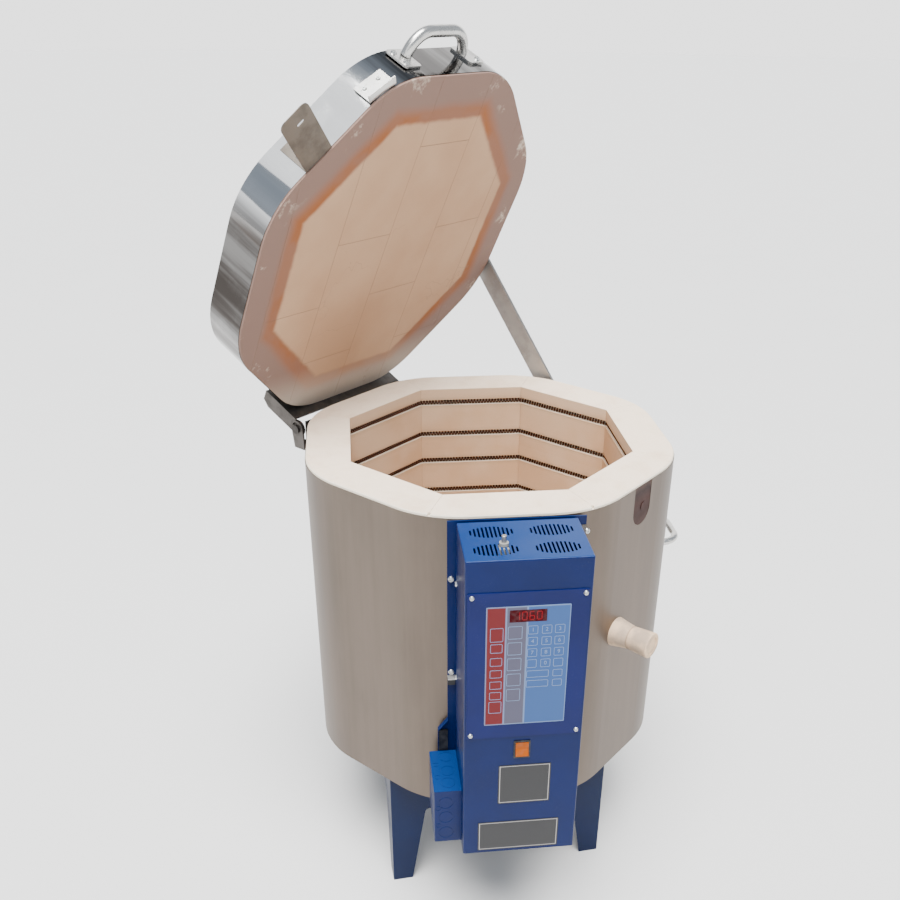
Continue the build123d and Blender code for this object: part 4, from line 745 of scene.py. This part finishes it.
class KILN_OT_elements(bpy.types.Operator):
    """Wind the four heating elements and their twisted tails"""

    bl_idname = "kiln.elements"
    bl_label = "Heating elements"

    def execute(self, context):
        sizes = context.scene.kiln_sizes
        material = wire_finish(context.scene.kiln_colours)
        for ring in range(RINGS):
            curve = bpy.data.curves.new(f"element_coil_{ring + 1}", "CURVE")
            curve.dimensions = "3D"
            curve.bevel_depth = sizes.wire_radius
            curve.bevel_resolution = 1
            curve.use_fill_caps = True
            curve.materials.append(material)
            corners = element_corners(ring)
            route = rounded_route(corners, 0.009, 0.003)
            curl_step = sizes.coil_pitch / sizes.coil_sides
            curl_radius = sizes.coil_radius - sizes.wire_radius
            coil = []
            for number, (place, direction) in enumerate(walk(route, curl_step)):
                outward = Vector((direction.y, -direction.x, 0)).normalized()
                lift = outward.cross(direction)
                turn = 2 * math.pi * number / sizes.coil_sides
                coil.append(place + curl_radius * (math.cos(turn) * outward + math.sin(turn) * lift))
            add_strand(curve, coil)
            tail_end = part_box(f"element_{ring + 1}")[0].y + sizes.wire_radius
            for corner in (corners[0], corners[-1]):
                add_tail(curve, corner, tail_end, sizes)
            element = bpy.data.objects.new(curve.name, curve)
            context.scene.collection.objects.link(element)
            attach(element, "kiln")
            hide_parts(f"element_{ring + 1}")
        return {"FINISHED"}


def add_tail(curve, corner, tail_end, sizes):
    """Two strands twisted together, from the end of a coil out through the wall."""
    twist_pitch = 0.014
    strand_factor = sizes.tail_radius / 2 / sizes.wire_radius
    steps = 60
    run = tail_end - corner.y
    for side in (0, math.pi):
        strand = []
        for number in range(steps + 1):
            along = run * number / steps
            turn = 2 * math.pi * along / twist_pitch + side
            offset = Vector((math.cos(turn), 0, math.sin(turn))) * sizes.tail_radius / 2
            strand.append(corner + Vector((0, along, 0)) + offset)
        add_strand(curve, strand, strand_factor)


# Controller


def film_strip_edges():
    """Where the keypad film changes colour, in metres across the front."""
    low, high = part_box("keypad_overlay")
    return low.x, -0.0248, 0.0039, high.x


def film_finish(colours):
    """Printed polyester film: red, grey and blue fields with pale edges."""
    material, place = start("keypad_film_finish")
    x = place.axis("X")
    left, red_end, grey_end, right = film_strip_edges()
    fields = x.rise(red_end - 0.0001, red_end + 0.0001).mix(colours.film_red, colours.film_grey)
    base = x.rise(grey_end - 0.0001, grey_end + 0.0001).mix(fields, colours.film_blue)
    bottom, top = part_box("keypad_overlay")[0].z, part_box("keypad_overlay")[1].z
    edge = line_at(x, left, 0.0022)
    for rule in (red_end, grey_end, right):
        edge = edge.most(line_at(x, rule, 0.0016))
    for rule in (bottom, top):
        edge = edge.most(line_at(place.axis("Z"), rule, 0.0022))
    base = (edge * 0.75).mix(base, colours.film_line)
    grain = place.noise(2500.0, 2.0)
    return surface(material, base=base, rough=0.42 + grain * 0.1, specular=0.2, height=grain, depth=0.00002)


def plate_finish(name, base, line, rough=0.35):
    """Printed metal plate: a dark field inside a thin pale line."""
    material, place = start(name)
    clouds = place.noise(45.0, 4.0)
    border = line_round(place, RATING_PLATE).most(line_round(place, LOWER_PLATE))
    field = (clouds * 0.3).mix(base, shade("2b2b30"))
    return surface(material, base=border.mix(field, line), rough=rough + clouds * 0.15,
                   height=place.noise(900.0, 2.0), depth=0.00002)


RATING_PLATE = (-0.029, 0.0484, 0.3432, 0.4162)
LOWER_PLATE = (-0.0578, 0.065, 0.2512, 0.3072)


def line_round(place, plate, inset=0.0022, half_width=0.0006):
    """1 on a thin line just inside a plate's edges."""
    left, right, bottom, top = plate
    from_middle_x = abs(place.axis("X") - (left + right) / 2) - (right - left) / 2 + inset
    from_middle_z = abs(place.axis("Z") - (bottom + top) / 2) - (top - bottom) / 2 + inset
    return line_at(from_middle_x.most(from_middle_z), 0.0, half_width)


def gloss_finish(name, base, rough, glow=0.0, shine=0.3):
    """Smooth moulded plastic with a little dust."""
    material, place = start(name)
    dust = place.noise(120.0, 4.0)
    paler = tuple(channel * 0.85 + 0.02 for channel in base[:3]) + (1.0,)
    return surface(material, base=dust.rise(0.4, 0.7).mix(tuple(base), paler), rough=rough + dust * 0.1,
                   specular=shine, coat=shine / 4, coat_rough=0.1, glow=tuple(base), glow_power=glow,
                   height=place.noise(800.0, 2.0), depth=0.00002)


def rounded_outline(left, right, bottom, top, radius, steps=5):
    """Corner-rounded rectangle as (x, z) points, counter-clockwise."""
    points = []
    for number, (x, z) in enumerate(((right, top), (left, top), (left, bottom), (right, bottom))):
        centre_x = x - math.copysign(radius, x - (left + right) / 2)
        centre_z = z - math.copysign(radius, z - (bottom + top) / 2)
        for step in range(steps + 1):
            turn = math.pi / 2 * (number + step / steps)
            points.append((centre_x + radius * math.cos(turn), centre_z + radius * math.sin(turn)))
    return points


def raise_face(mesh, outer, inner, back, depth):
    """A closed flat print: the band between two outlines, standing off a face that looks toward -Y."""
    rows = []
    for y in (back, back - depth):
        for outline in (outer, inner):
            rows.append([mesh.verts.new((x, y, z)) for x, z in outline])
    back_outer, back_inner, front_outer, front_inner = rows
    count = len(outer)
    for number in range(count):
        after = (number + 1) % count
        mesh.faces.new((front_outer[number], front_outer[after], front_inner[after], front_inner[number]))
        mesh.faces.new((back_outer[after], back_outer[number], back_inner[number], back_inner[after]))
        mesh.faces.new((back_outer[number], back_outer[after], front_outer[after], front_outer[number]))
        mesh.faces.new((back_inner[after], back_inner[number], front_inner[number], front_inner[after]))


def place_piece(name, data, body, context):
    """Put a new piece in the scene, riding on a body."""
    piece = bpy.data.objects.new(name, data)
    context.scene.collection.objects.link(piece)
    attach(piece, body)
    return piece


def key_fields():
    """Every key of the film: (left, right, bottom, top), in metres."""
    fields = []
    for drop, height in RED_KEYS:
        half = 0.009 if height > 0.018 else 0.0083
        middle = RIM - drop
        fields.append((RED_COLUMN - half, RED_COLUMN + half, middle - height / 2, middle + height / 2))
    for row in range(5):
        top = RIM - 0.1055 - row * 0.0258
        fields.append((-0.0220, -0.0024, top - 0.0205, top))
    for column in KEY_COLUMNS:
        for row in KEY_ROWS:
            fields.append((column - 0.0068, column + 0.0068, RIM + row - 0.0068, RIM + row + 0.0068))
    for row in (-0.1850, -0.2015):
        fields.append((0.0055, 0.0365, RIM + row - 0.0058, RIM + row + 0.0058))
        fields.append((0.0421, 0.0557, RIM + row - 0.0058, RIM + row + 0.0058))
    return fields


RED_COLUMN = -0.0372
RED_KEYS = (
    (0.1182, 0.022), (0.1400, 0.0145), (0.1620, 0.0135), (0.1820, 0.0130), (0.2010, 0.0130),
    (0.2190, 0.0130), (0.2390, 0.020),
)
KEY_COLUMNS = (0.0121, 0.0311, 0.0489)
KEY_ROWS = (-0.1125, -0.1310, -0.1495, -0.1675)
KEY_CORNER = 0.0018
NUMERAL_SIZE = 0.0085


def add_digit(mesh, text, middle_x, middle_z, size, back, depth):
    """A flat raised numeral, centred on a key."""
    numeral = bpy.data.curves.new("numeral", "FONT")
    numeral.body = text
    numeral.size = size
    numeral.extrude = depth / 2
    numeral.align_x = "CENTER"
    numeral.align_y = "CENTER"
    stand_in = bpy.data.objects.new("numeral", numeral)
    shape = bpy.data.meshes.new_from_object(stand_in)
    upright = Matrix.Rotation(math.pi / 2, 4, "X")
    shape.transform(Matrix.Translation((middle_x, back - depth / 2, middle_z)) @ upright)
    mesh.from_mesh(shape)
    bpy.data.objects.remove(stand_in)
    bpy.data.curves.remove(numeral)
    bpy.data.meshes.remove(shape)


SEGMENT_PLACES = {
    "top": (0, 2, 0), "middle": (0, 0, 0), "bottom": (0, -2, 0),
    "upper_left": (-1, 1, 1), "upper_right": (1, 1, 1), "lower_left": (-1, -1, 1), "lower_right": (1, -1, 1),
}
SEGMENT_STEP = 0.0031
SEGMENT_HALF_LENGTH = 0.0029
SEGMENT_HALF_WIDTH = 0.0006
DISPLAY_DIGITS = (
    ("upper_right", "lower_right"),
    ("top", "upper_left", "upper_right", "lower_left", "lower_right", "bottom"),
    ("top", "upper_left", "middle", "lower_left", "lower_right", "bottom"),
    ("top", "upper_left", "upper_right", "lower_left", "lower_right", "bottom"),
)


def add_segment(mesh, middle_x, middle_z, half_length, half_width, upright, back, depth):
    """One bar of a seven-segment digit, pointed at both ends."""
    outline = []
    for along, across in ((-1, 0), (-0.82, -1), (0.82, -1), (1, 0), (0.82, 1), (-0.82, 1)):
        x, z = along * half_length, across * half_width
        if upright:
            x, z = -z, x
        outline.append((middle_x + x, middle_z + z))
    far = [mesh.verts.new((x, back, z)) for x, z in outline]
    near = [mesh.verts.new((x, back - depth, z)) for x, z in outline]
    mesh.faces.new(near)
    mesh.faces.new(list(reversed(far)))
    for number in range(len(outline)):
        after = (number + 1) % len(outline)
        mesh.faces.new((far[number], far[after], near[after], near[number]))


class KILN_OT_controller(bpy.types.Operator):
    """Finish the keypad film, window and plates, and print the keys and digits"""

    bl_idname = "kiln.controller"
    bl_label = "Controller"

    def execute(self, context):
        colours = context.scene.kiln_colours
        sizes = context.scene.kiln_sizes
        dress(film_finish(colours), "keypad_overlay")
        dress(gloss_finish("display_red_finish", colours.window, 0.5, 0.05, 0.05), "display_window")
        dress(plate_finish("label_black_finish", shade("0c0b0c"), shade("a9a5a2")), "name_plates")
        film_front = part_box("keypad_overlay")[0].y
        keys = bmesh.new()
        line = sizes.key_line
        for left, right, bottom, top in key_fields():
            outer = rounded_outline(left, right, bottom, top, KEY_CORNER)
            inner = rounded_outline(left + line, right - line, bottom + line, top - line, KEY_CORNER - line)
            raise_face(keys, outer, inner, film_front, sizes.print_depth)
        numerals = iter("123456789 0 ")
        for row in KEY_ROWS:
            for column in KEY_COLUMNS:
                add_digit(keys, next(numerals), column, RIM + row, NUMERAL_SIZE, film_front,
                          sizes.print_depth)
        bmesh.ops.recalc_face_normals(keys, faces=keys.faces)
        key_print = bpy.data.meshes.new("key_print")
        keys.to_mesh(key_print)
        keys.free()
        key_print.materials.append(gloss_finish("key_print_finish", colours.film_line, 0.5))
        place_piece("key_print", key_print, "box", context)

        low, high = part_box("display_window")
        digits = bmesh.new()
        middle_z = (low.z + high.z) / 2
        for number, lit in enumerate(DISPLAY_DIGITS):
            middle_x = low.x + (high.x - low.x) * (number + 1) / 5
            for name in lit:
                along, up, upright = SEGMENT_PLACES[name]
                add_segment(digits, middle_x + along * SEGMENT_STEP, middle_z + up * SEGMENT_STEP,
                            SEGMENT_HALF_LENGTH, SEGMENT_HALF_WIDTH, upright, low.y, sizes.print_depth)
        bmesh.ops.recalc_face_normals(digits, faces=digits.faces)
        display_print = bpy.data.meshes.new("display_digits")
        digits.to_mesh(display_print)
        digits.free()
        display_print.materials.append(gloss_finish("display_digit_finish", shade("7a1017"), 0.5, 0.1, 0.05))
        place_piece("display_digits", display_print, "box", context)
        return {"FINISHED"}


def catch_finish(colours):
    """Black catch with a bright steel strip on top."""
    material, place = start("catch_finish")
    strip = place.axis("Z").rise(CATCH_STRIP - 0.0001, CATCH_STRIP + 0.0001)
    wear = place.noise(160.0, 3.0)
    return surface(material, base=strip.mix(shade("121214"), tuple(colours.bright)), rough=0.3 + wear * 0.2,
                   metal=strip * 0.9, height=wear, depth=0.00003)


CATCH_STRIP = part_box("box_catch")[1].z - 0.002


class KILN_OT_box_parts(bpy.types.Operator):
    """Finish the rocker switch, the lid switch and the parts inside the control box"""

    bl_idname = "kiln.box_parts"
    bl_label = "Switches and inner parts"

    def execute(self, context):
        colours = context.scene.kiln_colours
        black = gloss_finish("black_plastic_finish", shade("101012"), 0.4)
        dress(black, "rocker_bezel", "relays", "wire_guard")
        dress(catch_finish(colours), "box_catch")
        dress(gloss_finish("switch_body_finish", shade("8c8c88"), 0.4), "lid_switch_body")
        dress(gloss_finish("amber_plastic_finish", colours.amber, 0.25, 0.15, 0.1), "rocker")
        dress(gloss_finish("circuit_board_finish", shade("1d4a2b"), 0.35), "controller_board")
        dress(steel_finish("transformer_iron_finish", shade("6b6762"), 0.5), "transformer")
        return {"FINISHED"}


# Stage


class KILN_OT_studio(bpy.types.Operator):
    """Set the camera, the floor and the soft lights"""

    bl_idname = "kiln.studio"
    bl_label = "Studio"

    def execute(self, context):
        stage = context.scene.kiln_stage
        self.add_camera(context, stage)
        self.add_floor(context, stage)
        self.add_lights(context, stage)
        return {"FINISHED"}

    def add_camera(self, context, stage):
        """A camera at the photograph's viewing angle."""
        pitch, roll, yaw = stage.camera_turn
        forward = Vector((math.sin(yaw) * math.cos(pitch), math.cos(yaw) * math.cos(pitch), math.sin(pitch)))
        level = Vector((math.cos(yaw), -math.sin(yaw), 0))
        upright = level.cross(forward)
        right = level * math.cos(roll) + upright * math.sin(roll)
        up = upright * math.cos(roll) - level * math.sin(roll)
        data = bpy.data.cameras.new("camera")
        data.sensor_width = 36.0
        data.lens = stage.lens
        data.shift_x, data.shift_y = stage.shift
        camera = bpy.data.objects.new("camera", data)
        turn = Matrix((right, up, -forward)).transposed().to_4x4()
        camera.matrix_world = Matrix.Translation(stage.camera_place) @ turn
        context.scene.collection.objects.link(camera)
        context.scene.camera = camera

    def add_floor(self, context, stage):
        """A wide round floor."""
        disc = bmesh.new()
        bmesh.ops.create_circle(disc, cap_ends=True, segments=96, radius=30.0)
        mesh = bpy.data.meshes.new("floor")
        disc.to_mesh(mesh)
        disc.free()
        material, place = start("floor_finish")
        mottle = place.noise(3.0, 3.0)
        darker = tuple(channel * 0.97 for channel in stage.floor[:3]) + (1.0,)
        mesh.materials.append(surface(material, base=mottle.mix(tuple(stage.floor), darker), rough=0.9))
        floor = bpy.data.objects.new("floor", mesh)
        context.scene.collection.objects.link(floor)

    def add_lights(self, context, stage):
        """Uneven studio surroundings, a wide overhead light and soft lights at the sides."""
        world = bpy.data.worlds.new("studio")
        context.scene.world = world
        world.use_nodes = True
        direction = Wire(world.node_tree).node("ShaderNodeTexCoord", output="Generated")
        panels = direction.scaled(1.0, 1.0, 0.2).noise(2.6, 3.0).rise(0.42, 0.62)
        height = direction.axis("Z").rise(-0.1, 0.7)
        walls = (height * 0.75 + panels * 0.25).mix(stage.sky_low, stage.sky_high)
        behind = direction.along((0.1, 1.0, 0)).rise(0.6, 0.85)
        background = world.node_tree.nodes["Background"]
        world.node_tree.links.new(behind.mix(walls, stage.sky_back).socket, background.inputs["Color"])
        background.inputs["Strength"].default_value = stage.sky_power
        aim = Vector((0, 0, 0.7))
        top = bpy.data.lights.new("top_light", "SUN")
        top.energy = stage.top_power
        top.angle = math.radians(40)
        overhead = bpy.data.objects.new("top_light", top)
        overhead.rotation_euler = Vector((0.05, 0.3, -1.0)).to_track_quat("-Z", "Y").to_euler()
        context.scene.collection.objects.link(overhead)
        for name, place, size, share in (
            ("front_light", (-1.6, -2.9, 2.2), 1.8, 1.0),
            ("side_light", (2.8, -1.4, 1.8), 1.2, 0.5),
            ("left_light", (-3.4, -0.6, 1.3), 1.6, 1.1),
            ("band_light", (-1.6, -0.9, 4.2), 1.6, 1.0),
            ("rim_light", (-0.3, -1.5, 2.7), 1.0, 2.0),
        ):
            data = bpy.data.lights.new(name, "AREA")
            data.size = size
            data.energy = stage.fill_power * share
            light = bpy.data.objects.new(name, data)
            light.location = place
            light.rotation_euler = (aim - Vector(place)).to_track_quat("-Z", "Y").to_euler()
            context.scene.collection.objects.link(light)


PIECE_OPERATORS = (
    KILN_OT_brickwork,
    KILN_OT_jacket,
    KILN_OT_lid_metal,
    KILN_OT_hardware,
    KILN_OT_painted,
    KILN_OT_ceramics,
    KILN_OT_elements,
    KILN_OT_controller,
    KILN_OT_box_parts,
    KILN_OT_studio,
)


class KILN_PT_sidebar(bpy.types.Panel):
    """Kiln pieces, sizes and colours"""

    bl_idname = "KILN_PT_sidebar"
    bl_label = "Test kiln"
    bl_space_type = "VIEW_3D"
    bl_region_type = "UI"
    bl_category = "Kiln"

    def draw(self, context):
        for operator in PIECE_OPERATORS:
            self.layout.operator(operator.bl_idname)
        for group in (context.scene.kiln_sizes, context.scene.kiln_colours, context.scene.kiln_stage):
            for name in group.bl_rna.properties.keys():
                if name not in ("rna_type", "name"):
                    self.layout.prop(group, name)


CLASSES = (KilnColours, KilnSizes, KilnStage, *PIECE_OPERATORS, KILN_PT_sidebar)


def register():
    for cls in CLASSES:
        bpy.utils.register_class(cls)
    bpy.types.Scene.kiln_colours = PointerProperty(type=KilnColours)
    bpy.types.Scene.kiln_sizes = PointerProperty(type=KilnSizes)
    bpy.types.Scene.kiln_stage = PointerProperty(type=KilnStage)


def unregister():
    del bpy.types.Scene.kiln_stage
    del bpy.types.Scene.kiln_sizes
    del bpy.types.Scene.kiln_colours
    for cls in reversed(CLASSES):
        bpy.utils.unregister_class(cls)


def main():
    """Make every piece and the stage."""
    register()
    bpy.ops.kiln.studio()
    bpy.ops.kiln.brickwork()
    bpy.ops.kiln.jacket()
    bpy.ops.kiln.lid_metal()
    bpy.ops.kiln.hardware()
    bpy.ops.kiln.painted()
    bpy.ops.kiln.ceramics()
    bpy.ops.kiln.elements()
    bpy.ops.kiln.controller()
    bpy.ops.kiln.box_parts()


if __name__ == "__main__":
    main()
